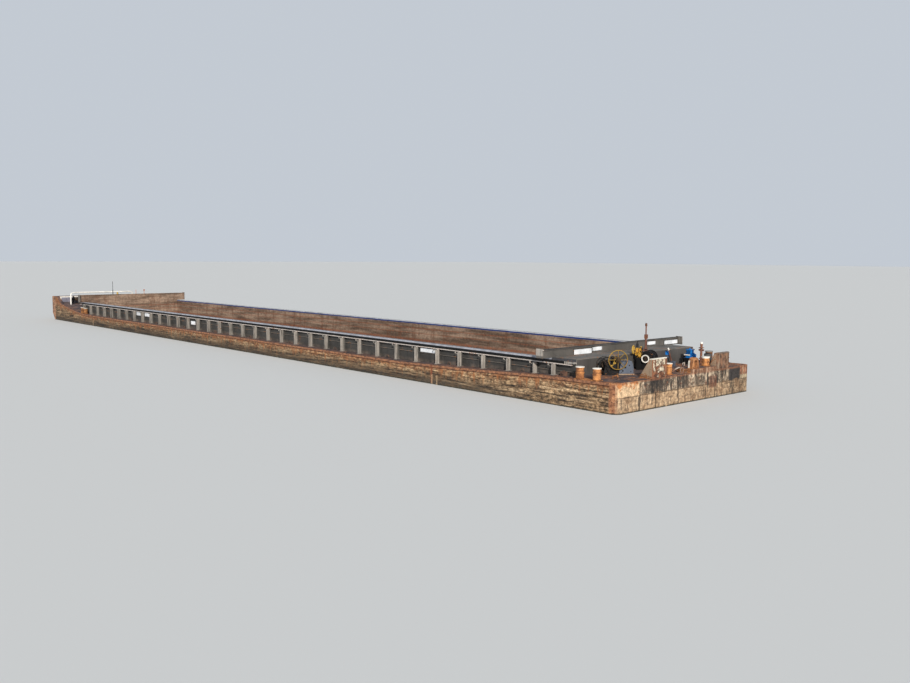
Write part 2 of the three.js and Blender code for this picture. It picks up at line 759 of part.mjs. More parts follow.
function mastTop() {
  const { x, y, hinge, top, upper, pin } = MAST;
  const { radius, half, lamp } = KNUCKLE;
  return join(
    rod([x, y - half, hinge], [x, y + half, hinge], radius, 16),
    rod([x, y, hinge], [x, y, top], upper, 10),
    rod([x, y, top - half], [x, y, top + lamp], radius, 12),
  ).subtract(rod([x, y - FORK.drop, hinge], [x, y + FORK.drop, hinge], pin + PIN_PLAY, 16));
}

// Deck hatches with hinged lids, columns: name, x, y
const HATCHES = [
  ['hatch_stern', 1.05, -4.28],
  ['hatch_bow', 71.0, -1.6],
];
const HATCH = { half: 0.35, height: 0.26, wall: 0.05, floor: 0.08, lid: 0.05, lip: 0.03, hinge: 0.04 };
const HATCH_HINGE = {
  reach: 0.06,
  pin: 0.015,
  half: 0.25,
  tongue: 0.1,
  knuckle: 0.035,
  ear: 0.05,
  drop: 0.12,
};
const EARS = [-0.22, 0.17];

// The hinge's axis, in x and z
const hatchAxle = (x) => [x + HATCH.half + HATCH_HINGE.reach, deckAt(x) + HATCH.height + HATCH.hinge];

function hatchFrame(x, y) {
  const { half, height, wall, floor } = HATCH;
  const { pin, ear, drop, half: rest } = HATCH_HINGE;
  const top = deckAt(x) + height;
  const back = x + half;
  const [axleX, axleZ] = hatchAxle(x);
  const inside = half - wall;
  const rim = box([x - half, back], [y - half, y + half], [SIDE_DECK, top]);
  const well = box([x - inside, x + inside], [y - inside, y + inside], [deckAt(x) + floor, top + floor]);
  const ears = EARS.map((dy) => [
    box([back - 0.01, axleX + ear / 2], [y + dy, y + dy + ear], [top - drop, top - 0.01]),
    box([axleX - ear / 2, axleX + ear / 2], [y + dy, y + dy + ear], [top - 0.02, axleZ + ear / 2]),
  ]);
  const pivot = rod([axleX, y - rest, axleZ], [axleX, y + rest, axleZ], pin, 10);
  return standOnDeck(join(rim.subtract(well), ears.flat(), pivot));
}

function hatchLid(x, y) {
  const { half, height, lid, lip } = HATCH;
  const { reach, pin, tongue, knuckle } = HATCH_HINGE;
  const low = deckAt(x) + height + SEAM;
  const back = x + half;
  const edge = half + lip;
  const [axleX, axleZ] = hatchAxle(x);
  return join(
    box([x - edge, back], [y - edge, y + edge], [low, low + lid]),
    box([back - reach, axleX], [y - tongue, y + tongue], [low + 0.01, low + lid]),
    rod([axleX, y - tongue, axleZ], [axleX, y + tongue, axleZ], knuckle, 14),
  ).subtract(rod([axleX, y - edge, axleZ], [axleX, y + edge, axleZ], pin + PIN_PLAY, 16));
}

// Blue power unit: a tank on two skids with an engine block between a motor and a pump
const POWER_UNIT = {
  x: 2.3,
  y: -3.55,
  skid: { half: 0.34, y: [0.1, 0.18], top: 0.08 },
  tank: { x: [-0.3, 0.28], half: 0.15, z: [0.07, 0.34] },
  block: { x: [-0.13, 0.15], half: 0.14, z: [0.32, 0.78] },
  motor: { x: [-0.32, -0.12], radius: 0.11, z: 0.46 },
  pump: { x: [0.14, 0.26], radius: 0.09, z: 0.48 },
};

function powerUnit() {
  const { x, y, skid, tank, block, motor, pump } = POWER_UNIT;
  const deck = deckAt(x);
  const across = ([low, high]) => [x + low, x + high];
  const upTo = ([low, high]) => [deck + low, deck + high];
  const skids = [-1, 1].map((side) => {
    const breadth = [y + side * skid.y[0], y + side * skid.y[1]];
    return box([x - skid.half, x + skid.half], breadth, [ROOT, deck + skid.top]);
  });
  const drums = [motor, pump].map((part) => {
    const [from, to] = across(part.x);
    return rod([from, y, deck + part.z], [to, y, deck + part.z], part.radius, 18);
  });
  return standOnDeck(join(
    skids,
    box(across(tank.x), [y - tank.half, y + tank.half], upTo(tank.z)),
    box(across(block.x), [y - block.half, y + block.half], upTo(block.z)),
    drums,
  ));
}

// Valve post: a pipe on a foot, with a cap and a cross valve
const VALVE_POST = {
  x: 1.25,
  y: -2.95,
  foot: 0.14,
  radius: 0.06,
  cap: 0.07,
  capFrom: 1.09,
  top: 1.27,
  valve: 0.86,
};

function valvePost() {
  const { x, y, foot, radius, cap, capFrom, top, valve } = VALVE_POST;
  const deck = deckAt(x);
  return standOnDeck(join(
    box([x - foot, x + foot], [y - foot, y + foot], [ROOT, deck + radius]),
    rod([x, y, ROOT], [x, y, deck + top], radius, 12),
    rod([x, y, deck + capFrom], [x, y, deck + top], cap, 14),
    rod([x - foot, y, deck + valve], [x + foot, y, deck + valve], radius * 0.8, 12),
  ));
}

// Ventilator: a pipe under a wider round hood
const VENTILATOR = { x: 1.95, y: -4.7, pipe: 0.12, hood: 0.2, hoodFrom: 0.26, top: 0.5 };

function ventilator() {
  const { x, y, pipe: radius, hood, hoodFrom, top } = VENTILATOR;
  const deck = deckAt(x);
  return standOnDeck(join(
    rod([x, y, ROOT], [x, y, deck + hoodFrom + radius], radius, 18),
    rod([x, y, deck + hoodFrom], [x, y, deck + top], hood, 22),
  ));
}

const LOCKER = { x: 2.35, y: -2.08, half: 0.09, height: 0.25 };

function deckLocker() {
  const { x, y, half, height } = LOCKER;
  return standOnDeck(box([x - half, x + half], [y - half, y + half], [ROOT, deckAt(x) + height]));
}

// Switch box on the aft trunk's wall
const SWITCH_BOX = { depth: 0.12, y: [-2.64, -2.46], z: [4.72, 5.08] };

function switchBox() {
  const wall = TRUNK_AFT - SEAM;
  return box([wall - SWITCH_BOX.depth, wall], SWITCH_BOX.y, SWITCH_BOX.z);
}

// Lever that leans to port over its foot
const LEVER = { x: 2.88, y: -2.8, head: [2.82, -2.31], height: 0.86, radius: 0.035, foot: 0.1 };

function leverPost() {
  const { x, y, head, height, radius, foot } = LEVER;
  const deck = deckAt(x);
  return standOnDeck(join(
    box([x - foot, x + foot], [y - foot, y + foot], [ROOT, deck + foot / 2]),
    rod([x, y, deck - radius], [...head, deck + height], radius, 10),
  ));
}

// Bow fittings: the plate across the fore deck, the pipe hoop and the antenna mast
const BOW_PLATE = { x: 74.8, half: 5.3, thick: 0.08 };
const BOW_HOOP = { x: 73.0, y: [4.8, -1.85], top: 5.96, radius: 0.07, corner: 0.25 };
const ANTENNA = { x: 69.0, y: 1.83, foot: 0.1, pole: 0.04, poleTop: 6.3, whip: 0.022, top: 7.21 };

function bowPlate() {
  const { x, half, thick } = BOW_PLATE;
  return standOnDeck(box([x - thick, x], [-half, half], [ROOT, HEAD_TOP]));
}

function bowHoop() {
  const { x, y, top, radius, corner } = BOW_HOOP;
  const [port, starboard] = y;
  const route = [[x, port, ROOT], [x, port, top], [x, starboard, top], [x, starboard, ROOT]];
  return standOnDeck(pipe(route, radius, corner, 8));
}

function antennaMast() {
  const { x, y, foot, pole, poleTop, whip, top } = ANTENNA;
  const base = TRUNK_FORE_TOP + SEAM;
  return join(
    box([x - foot, x + foot], [y - foot, y + foot], [base, base + pole]),
    rod([x, y, base], [x, y, poleTop], pole, 10),
    rod([x, y, poleTop - foot], [x, y, top], whip, 8),
  );
}

// Materials: the colour, roughness and metalness of each kind of surface
const FINISHES = {
  hull: [0x8a6f55, 0.85, 0.2],
  grey: [0x4a4c50, 0.7, 0.2],
  rust: [0x9a5a34, 0.9, 0.2],
  cream: [0xcdbf9f, 0.7, 0.1],
  white: [0xe6e4dc, 0.5, 0.1],
  black: [0x26262a, 0.6, 0.3],
  steelBlue: [0x8496ad, 0.6, 0.2],
  yellow: [0xe0b43a, 0.5, 0.1],
  blue: [0x1f6fc4, 0.5, 0.1],
  brown: [0x6e4638, 0.8, 0.2],
};

const barge = new THREE.Group();
barge.scale.setScalar(MM_PER_METRE * MODEL_SCALE);
barge.position.x = (-LENGTH / 2) * MM_PER_METRE * MODEL_SCALE;

function place(name, solid, finish, parent = barge) {
  const [color, roughness, metalness] = FINISHES[finish];
  const material = new THREE.MeshStandardMaterial({ color, roughness, metalness });
  const mesh = new THREE.Mesh(geometryOf(solid), material);
  mesh.name = name;
  parent.add(mesh);
}

// A frame standing on the deck, turned about the vertical
function deckFrame([x, y], degrees) {
  const frame = new THREE.Group();
  frame.position.set(x, y, deckAt(x));
  frame.rotation.z = THREE.MathUtils.degToRad(degrees);
  barge.add(frame);
  return frame;
}

// A solid of a deck frame, cut back from the deck below it
function seat(frame, solid) {
  frame.updateMatrix();
  const inWorld = solid.transform(frame.matrix.toArray());
  return standOnDeck(inWorld).transform(frame.matrix.clone().invert().toArray());
}

const amidships = [HOLD_AFT + SEAM, HOLD_FORE - SEAM];
place('hull_bottom', box(amidships, [-HOLD_HALF, HOLD_HALF], [0, FLOOR_TOP]), 'hull');
place('hull_side_port', hullSide(1), 'hull');
place('hull_side_starboard', hullSide(-1), 'hull');
place('hull_stern', hullStern(), 'hull');
place('hull_bow', hullBow(), 'hull');

place('coaming_port', coaming(1), 'grey');
place('coaming_starboard', coaming(-1), 'grey');
place('trunk_aft', trunk(TRUNK_AFT, PANEL_AFT - SEAM, TRUNK_TOP), 'grey');
place('trunk_fore', trunk(PANEL_FORE + PANEL_DEPTH + SEAM, TRUNK_FORE, TRUNK_FORE_TOP), 'grey');
place('end_panel_aft', endPanel(PANEL_AFT, PANEL_AFT_TOP, -1), 'grey');
place('end_panel_fore', endPanel(PANEL_FORE, PANEL_FORE_TOP, 1), 'grey');

for (const [name, portEdge, starboardEdge, top, reach] of KNEES) {
  place(name, pushKnee(portEdge, starboardEdge, top, reach), 'cream');
}
for (const [name, radius, height, places] of BOLLARD_GROUPS) {
  place(name, bollards(radius, height, places), 'rust');
}
place('fairlead', fairlead(), 'rust');
place('mooring_eye', mooringEye(), 'rust');

const portWinch = deckFrame(PORT_WINCH.place, PORT_WINCH.turn);
place('port_winch_bed', seat(portWinch, portWinchBed()), 'black', portWinch);
place('port_winch_gear_case', portWinchGearCase(), 'steelBlue', portWinch);
place('port_winch_drum', portWinchDrum(), 'black', portWinch);
place('port_winch_handwheel', portWinchWheel(), 'yellow', portWinch);

const centreWinch = deckFrame(CENTRE_WINCH.place, CENTRE_WINCH.turn);
place('centre_winch_bed', seat(centreWinch, centreWinchBed()), 'black', centreWinch);
place('centre_winch_drum', centreWinchDrum(), 'black', centreWinch);
const brakeSpindle = new THREE.Group();
brakeSpindle.position.set(BRAKE_WHEEL.x, CENTRE_WINCH.gearCase.y[0], BRAKE_WHEEL.z);
brakeSpindle.rotation.z = -Math.PI / 2;
centreWinch.add(brakeSpindle);
place('centre_winch_brake_wheel', brakeWheel(), 'yellow', brakeSpindle);

for (const [name, side] of [['port', 1], ['starboard', -1]]) {
  const [x, y] = BOW_WINCH.place;
  const frame = deckFrame([x, y * side], 90 * side);
  place(`bow_winch_${name}_bed`, seat(frame, bowWinchBed()), 'black', frame);
  place(`bow_winch_${name}_drum`, bowWinchDrum(), 'black', frame);
}

place('mast_foot', mastFoot(), 'brown');
place('mast_top', mastTop(), 'brown');
for (const [name, x, y] of HATCHES) {
  place(`${name}_frame`, hatchFrame(x, y), 'grey');
  place(`${name}_lid`, hatchLid(x, y), 'grey');
}

place('power_unit', powerUnit(), 'blue');
place('valve_post', valvePost(), 'brown');
place('ventilator', ventilator(), 'grey');
place('deck_locker', deckLocker(), 'steelBlue');
place('switch_box', switchBox(), 'steelBlue');
place('lever_post', leverPost(), 'brown');
place('bow_plate', bowPlate(), 'steelBlue');
place('bow_hoop', bowHoop(), 'white');
place('antenna_mast', antennaMast(), 'black');

export default barge;
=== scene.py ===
"""Looks of a half-size river push barge: paint, rust, deck details, studio light and camera."""

import json
import math
from collections import namedtuple

import bmesh
import bpy
from mathutils import Matrix, Vector


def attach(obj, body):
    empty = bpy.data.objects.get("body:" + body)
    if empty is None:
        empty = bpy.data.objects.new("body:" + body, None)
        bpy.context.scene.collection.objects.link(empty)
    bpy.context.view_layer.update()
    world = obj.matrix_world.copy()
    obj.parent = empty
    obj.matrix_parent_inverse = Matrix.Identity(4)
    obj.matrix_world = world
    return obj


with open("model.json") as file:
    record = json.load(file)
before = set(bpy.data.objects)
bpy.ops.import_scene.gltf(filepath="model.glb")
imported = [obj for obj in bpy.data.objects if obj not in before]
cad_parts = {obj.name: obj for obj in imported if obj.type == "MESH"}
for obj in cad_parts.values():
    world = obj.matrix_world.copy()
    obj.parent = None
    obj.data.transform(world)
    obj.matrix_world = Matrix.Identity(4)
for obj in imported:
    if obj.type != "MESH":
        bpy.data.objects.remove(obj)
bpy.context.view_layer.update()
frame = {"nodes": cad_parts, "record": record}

# Scale and frame: sizes below are the real barge's metres, x forward from the transom, y to port and z up
# from the flat bottom. The model is half that size, centred over its bottom.
SCALE = 0.5
LENGTH = 76.5
WATERLINE = 3.0
PLATING = 5.66
GUARD_HEIGHT = 0.12
HOLD_HALF = 4.8
HOLD_AFT = 4.6
HOLD_FORE = 68.0
FLOOR_TOP = 0.6
HEAD_AFT = 75.3
COAMING_OUTER = 4.88
COAMING_AFT = 3.1
PANEL_AFT = 4.43

# Deck height along the length, columns: x, height
SHEER = [(0, 4.42), (4.6, 4.34), (10.3, 4.13), (15.4, 4.0), (66.0, 4.0), (68.0, 4.12), (69.9, 4.29),
         (73.1, 4.72), (75.3, 4.98), (76.5, 5.12)]

# Stays of the coamings: the odd one aft, then the regular ones
STAYS = [4.235] + [5.45 + 1.842 * i for i in range(35)]

# Camera, fitted to the hull's corners and waterline in the photograph
CAMERA_PLACE = (-23.8, 36.7, 9.97)
CAMERA_YAW = -41.93
CAMERA_PITCH = -5.5
CAMERA_ROLL = 0.345
CAMERA_LENS = 34.66
SENSOR = 36.0

# Light: a low soft key from behind the camera's left shoulder
KEY_AZIMUTH = -35.7
KEY_ELEVATION = 24.0
KEY_STRENGTH = 4.3
KEY_SOFTNESS = 2.5
KEY_COLOUR = (1.0, 0.93, 0.82)
SKY_COLOUR = (0.74, 0.8, 0.88)
SKY_STRENGTH = 0.37
HAZE_STRENGTH = 0.74
HAZE_TOP = (0.3, 0.55)
FLOOR_COLOUR = (0.66, 0.69, 0.72)
FLOOR_SIZE = 900.0
FLOOR_HOLE_MARGIN = 0.2


def model(x, y, z):
    """The model's point for a place on the real barge."""
    return Vector(((x - LENGTH / 2) * SCALE, y * SCALE, z * SCALE))


def deck_at(x):
    for (x0, z0), (x1, z1) in zip(SHEER, SHEER[1:]):
        if x <= x1:
            return z0 + (z1 - z0) * (x - x0) / (x1 - x0)
    return SHEER[-1][1]


def deck_frame(x, y, turn=0.0, z=None):
    """A frame standing on the deck, turned about the vertical."""
    height = deck_at(x) if z is None else z
    return Matrix.Translation((x, y, height)) @ Matrix.Rotation(math.radians(turn), 4, "Z")


def around(middle, half):
    """The span from half below a middle to half above it."""
    return (middle - half, middle + half)


def circle(count, radius, start=0.0):
    """Offsets of points spaced evenly round a circle."""
    angles = [start + 2 * math.pi * k / count for k in range(count)]
    return [(radius * math.cos(angle), radius * math.sin(angle)) for angle in angles]


# Deck gear, columns: x, y, turn in degrees. The heights of its axes are above the deck.
PORT_WINCH = (2.36, 2.81, 145)
CENTRE_WINCH = (2.51, -0.2, 110)
BOW_WINCHES = {"port": (73.8, 4.0, 90), "starboard": (73.8, -4.0, -90)}
PORT_DRUM = (-0.44, 0.475)
PORT_WHEEL_AXIS = 0.75
CENTRE_AXIS = 0.58
BOW_AXIS = 0.44
BED_TOP = 0.06
MAST_TOP = (3.35, -1.04, 6.5)
TRUNK_TOP_AFT = 5.21
TRUNK_TOP_FORE = 5.352
FAIRLEAD_SEAT = 4.59
HATCH_TOP = 0.26
HATCHES = [("hatch_stern", 1.05, -4.28), ("hatch_bow", 71.0, -1.6)]

# Bollards, columns: x, y, radius
BOLLARDS = [(1.33, 5.42, 0.19), (2.33, 5.42, 0.19), (1.33, -5.42, 0.19), (2.33, -5.42, 0.19),
            (0.42, 1.1, 0.14), (0.42, -2.05, 0.19),
            (66.75, 5.45, 0.19), (67.6, 5.45, 0.19), (66.75, -5.45, 0.19), (67.6, -5.45, 0.19)]


def make_camera():
    yaw = math.radians(CAMERA_YAW)
    pitch = math.radians(CAMERA_PITCH)
    forward = Vector((math.cos(yaw) * math.cos(pitch), math.sin(yaw) * math.cos(pitch), math.sin(pitch)))
    data = bpy.data.cameras.new("camera")
    data.lens = CAMERA_LENS
    data.sensor_width = SENSOR
    data.clip_start = 0.1
    data.clip_end = 2000.0
    camera = bpy.data.objects.new("camera", data)
    camera.rotation_mode = "QUATERNION"
    level = forward.to_track_quat("-Z", "Y").to_matrix()
    roll = Matrix.Rotation(math.radians(CAMERA_ROLL), 3, -forward)
    camera.rotation_quaternion = (roll @ level).to_quaternion()
    camera.location = model(*CAMERA_PLACE)
    bpy.context.scene.collection.objects.link(camera)
    bpy.context.scene.camera = camera


def make_studio():
    scene = bpy.context.scene
    scene.view_settings.view_transform = "Standard"
    world = bpy.data.worlds.new("studio")
    world.use_nodes = True
    background = world.node_tree.nodes["Background"]
    background.inputs["Color"].default_value = (*SKY_COLOUR, 1)
    # A paler band over the horizon: the direction's height goes from HAZE_TOP's first value to its second
    nodes = world.node_tree.nodes
    direction = nodes.new("ShaderNodeSeparateXYZ")
    fade = nodes.new("ShaderNodeMapRange")
    low, high = HAZE_TOP
    ends = {"From Min": low, "From Max": high, "To Min": HAZE_STRENGTH, "To Max": SKY_STRENGTH}
    for socket, value in ends.items():
        fade.inputs[socket].default_value = value
    links = world.node_tree.links
    links.new(nodes.new("ShaderNodeTexCoord").outputs["Generated"], direction.inputs[0])
    links.new(direction.outputs[2], fade.inputs["Value"])
    links.new(fade.outputs[0], background.inputs["Strength"])
    scene.world = world

    sun = bpy.data.lights.new("key", "SUN")
    sun.energy = KEY_STRENGTH
    sun.angle = math.radians(KEY_SOFTNESS)
    sun.color = KEY_COLOUR
    key = bpy.data.objects.new("key", sun)
    azimuth = math.radians(KEY_AZIMUTH)
    elevation = math.radians(KEY_ELEVATION)
    travel = Vector((math.cos(azimuth) * math.cos(elevation), math.sin(azimuth) * math.cos(elevation),
                     -math.sin(elevation)))
    key.rotation_mode = "QUATERNION"
    key.rotation_quaternion = travel.to_track_quat("-Z", "Y")
    scene.collection.objects.link(key)

    # The floor is cut away inside the hull's walls, so that the hold is seen down to its own floor
    mesh = bpy.data.meshes.new("floor")
    half = FLOOR_SIZE / 2
    level = WATERLINE * SCALE
    corners = [(x, y, level) for x, y in ((-half, -half), (half, -half), (half, half), (-half, half))]
    side = HOLD_HALF + FLOOR_HOLE_MARGIN
    aft = HOLD_AFT - FLOOR_HOLE_MARGIN
    fore = HOLD_FORE + FLOOR_HOLE_MARGIN
    inner = [(aft, -side), (fore, -side), (fore, side), (aft, side)]
    corners += [tuple(model(x, y, WATERLINE)) for x, y in inner]
    mesh.from_pydata(corners, [], [(i, (i + 1) % 4, 4 + (i + 1) % 4, 4 + i) for i in range(4)])
    floor = bpy.data.objects.new("floor", mesh)
    scene.collection.objects.link(floor)
    pale = bpy.data.materials.new("floor")
    pale.use_nodes = True
    shader = pale.node_tree.nodes["Principled BSDF"]
    shader.inputs["Base Color"].default_value = (*FLOOR_COLOUR, 1)
    shader.inputs["Roughness"].default_value = 0.9
    mesh.materials.append(pale)


# A finish over part of a surface: its colour, its roughness and its height for the bump
Coat = namedtuple("Coat", "colour rough height")


class Paint:
    """A material under construction. x, y, z are the real barge's metres, nx, ny, nz the face's normal."""

    def __init__(self, name):
        self.material = bpy.data.materials.new(name)
        self.material.use_nodes = True
        self.tree = self.material.node_tree
        self.shader = self.tree.nodes["Principled BSDF"]
        coords = self.tree.nodes.new("ShaderNodeTexCoord").outputs
        real = {0: coords["Object"], 1: (1 / SCALE,) * 3, 2: (LENGTH / 2, 0, 0)}
        self.place = self.node("ShaderNodeVectorMath", 0, real, operation="MULTIPLY_ADD")
        self.x, self.y, self.z = self.split(self.place)
        self.nx, self.ny, self.nz = self.split(coords["Normal"])

    def _set(self, socket, value):
        if isinstance(value, bpy.types.NodeSocket):
            self.tree.links.new(value, socket)
        elif isinstance(value, tuple) and len(value) == 3 and socket.type == "RGBA":
            socket.default_value = (*value, 1)
        else:
            socket.default_value = value

    def node(self, kind, output, inputs, **settings):
        node = self.tree.nodes.new(kind)
        for key, value in settings.items():
            setattr(node, key, value)
        for key, value in inputs.items():
            self._set(node.inputs[key], value)
        return node.outputs[output]

    def split(self, vector):
        node = self.tree.nodes.new("ShaderNodeSeparateXYZ")
        self._set(node.inputs[0], vector)
        return tuple(node.outputs)

    def math(self, operation, a, b=0.0):
        return self.node("ShaderNodeMath", 0, {0: a, 1: b}, operation=operation)

    def times(self, a, b):
        return self.math("MULTIPLY", a, b)

    def plus(self, a, b):
        return self.math("ADD", a, b)

    def minus(self, a, b):
        return self.math("SUBTRACT", a, b)

    def off_centre(self):
        """Distance from the centre line."""
        return self.math("ABSOLUTE", self.y)

    def above_deck(self):
        return self.minus(self.z, self.deck())

    def sway(self, pattern, amount):
        """A pattern's swing about its middle, times an amount."""
        return self.times(self.minus(pattern, 0.5), amount)

    def join(self, x, y, z):
        return self.node("ShaderNodeCombineXYZ", 0, {0: x, 1: y, 2: z})

    def noise(self, vector, scale, detail=5.0, roughness=0.6):
        values = {"Vector": vector, "Scale": scale, "Detail": detail, "Roughness": roughness}
        return self.node("ShaderNodeTexNoise", "Fac", values)

    def stretched(self, sx, sy, sz):
        return self.node("ShaderNodeVectorMath", 0, {0: self.place, 1: (sx, sy, sz)}, operation="MULTIPLY")

    def fade(self, value, low, high, to_low=0.0, to_high=1.0):
        """Value between low and high becomes to_low to to_high, held at both ends."""
        values = {"Value": value, "From Min": low, "From Max": high, "To Min": to_low, "To Max": to_high}
        return self.node("ShaderNodeMapRange", 0, values, clamp=True)

    def above(self, value, level, soft=0.01):
        return self.fade(value, level - soft, level + soft)

    def below(self, value, level, soft=0.01):
        return self.fade(value, level - soft, level + soft, 1, 0)

    def between(self, value, low, high, soft=0.01):
        return self.times(self.above(value, low, soft), self.below(value, high, soft))

    def all_of(self, *masks):
        whole = masks[0]
        for mask in masks[1:]:
            whole = self.times(whole, mask)
        return whole

    def any_of(self, *masks):
        whole = masks[0]
        for mask in masks[1:]:
            whole = self.math("MAXIMUM", whole, mask)
        return whole

    def flat(self, along=1.0, up=1.0):
        """A flat pattern that runs round the hull and its corners: along it, and up it."""
        port = self.math("MAXIMUM", self.y, 0.0)
        starboard = self.math("MAXIMUM", self.times(self.y, -1.0), 0.0)
        aft = self.fade(self.x, 10.0, 66.0, 1.0, -1.0)
        run = self.plus(self.x, self.times(aft, self.plus(port, self.times(starboard, 0.6))))
        return self.join(self.times(run, along), self.times(starboard, 0.8 * along), self.times(self.z, up))

    def grain(self, along, up, *noise):
        """A noise in the flat pattern's directions."""
        return self.noise(self.flat(along, up), *noise)

    def speck(self, *noise):
        """A noise that is alike in all directions."""
        return self.noise(self.place, *noise)

    def deck(self):
        """Height of the deck at this place."""
        height = SHEER[0][1]
        for (x0, z0), (x1, z1) in zip(SHEER, SHEER[1:]):
            if z1 != z0:
                height = self.plus(height, self.fade(self.x, x0, x1, 0.0, z1 - z0))
        return height

    def in_frame(self, x, y, turn):
        """This place in a deck frame: along, across and up from the deck."""
        angle = math.radians(turn)
        dx = self.minus(self.x, x)
        dy = self.minus(self.y, y)
        along = self.plus(self.times(dx, math.cos(angle)), self.times(dy, math.sin(angle)))
        across = self.plus(self.times(dx, -math.sin(angle)), self.times(dy, math.cos(angle)))
        return along, across, self.minus(self.z, deck_at(x))

    def mix(self, factor, a, b, blend="MIX"):
        node = self.tree.nodes.new("ShaderNodeMix")
        node.data_type = "RGBA"
        node.blend_type = blend
        self._set(node.inputs[0], factor)
        self._set(node.inputs[6], a)
        self._set(node.inputs[7], b)
        return node.outputs[2]

    def ramp(self, value, low, high, a, b):
        """Colour a up to low and b from high on."""
        return self.mix(self.fade(value, low, high), a, b)

    def stain(self, colour, value, low, high, strength, over):
        """Colour with another over it, from none at low to strength at high."""
        return self.mix(self.fade(value, low, high, 0, strength), colour, over)

    def mark(self, colour, mask, strength, over):
        return self.mix(self.times(mask, strength), colour, over)

    def blend(self, factor, a, b):
        return self.node("ShaderNodeMix", 0, {0: factor, 2: a, 3: b}, data_type="FLOAT")

    def lit(self, colour, value, low, high, dark, light):
        """Colour scaled from dark to light as value goes from low to high."""
        factor = self.fade(value, low, high, dark, light)
        return self.node("ShaderNodeVectorMath", 0, {0: colour, 3: factor}, operation="SCALE")

    def layer(self, mask, under, over):
        return Coat(self.mix(mask, under.colour, over.colour), self.blend(mask, under.rough, over.rough),
                    self.blend(mask, under.height, over.height))

    def cover(self, coat, mask, paint, **wear):
        """A coat with paint over it where the mask says."""
        return self.layer(mask, coat, painted(self, paint, **wear))

    def finish(self, coat, bump=0.012, dents=None, gloss=0.4):
        self._set(self.shader.inputs["Specular IOR Level"], gloss)
        self._set(self.shader.inputs["Base Color"], coat.colour)
        self._set(self.shader.inputs["Roughness"], coat.rough)
        values = {"Height": coat.height, "Strength": 0.6, "Distance": bump * SCALE}
        if dents is not None:
            wide = {"Height": dents, "Strength": 0.5, "Distance": 0.05}
            values["Normal"] = self.node("ShaderNodeBump", 0, wide)
        self._set(self.shader.inputs["Normal"], self.node("ShaderNodeBump", 0, values))
        return self.material


RUST_DARK = (0.07, 0.028, 0.015)
RUST_MID = (0.19, 0.075, 0.03)
RUST_BRIGHT = (0.42, 0.17, 0.055)


def shade(colour, factor):
    return tuple(min(1.0, c * factor) for c in colour)


def rust(p, dark=RUST_DARK, middle=RUST_MID, bright=RUST_BRIGHT, scale=3.0):
    """Bare rust, from flaking dark scale to bright orange bloom."""
    broad = p.speck(scale, 4, 0.6)
    fine = p.speck(scale * 6, 7, 0.7)
    runs = p.noise(p.stretched(6, 6, 0.8), scale * 0.6, 5, 0.6)
    colour = p.ramp(fine, 0.4, 0.62, dark, middle)
    colour = p.ramp(broad, 0.42, 0.62, colour, bright)
    colour = p.stain(colour, runs, 0.54, 0.7, 0.55, dark)
    return Coat(colour, 0.88, fine)


def painted(p, paint, chips=0.3, grime=0.35, rough=0.6, scale=3.0, pale=None):
    """Painted steel: mottled paint, rust where it has chipped, grime and rain streaks."""
    broad = p.speck(scale * 0.5, 4, 0.55)
    fine = p.speck(scale * 5, 6, 0.65)
    streak = p.noise(p.stretched(4.5, 4.5, 0.55), scale * 0.9, 5, 0.6)
    light = shade(paint, 1.3) if pale is None else pale
    colour = p.ramp(broad, 0.35, 0.7, shade(paint, 0.8), light)
    colour = p.stain(colour, streak, 0.52, 0.75, grime, shade(paint, 0.3))
    worn = p.plus(p.times(fine, 0.6), p.times(broad, 0.55))
    bare = p.fade(worn, 0.72 - 0.3 * chips, 0.78 - 0.3 * chips)
    colour = p.mix(bare, colour, p.ramp(fine, 0.4, 0.65, RUST_DARK, shade(RUST_BRIGHT, 0.8)))
    height = p.minus(p.times(fine, 0.5), p.times(bare, 0.6))
    return Coat(colour, p.blend(bare, rough, 0.92), height)


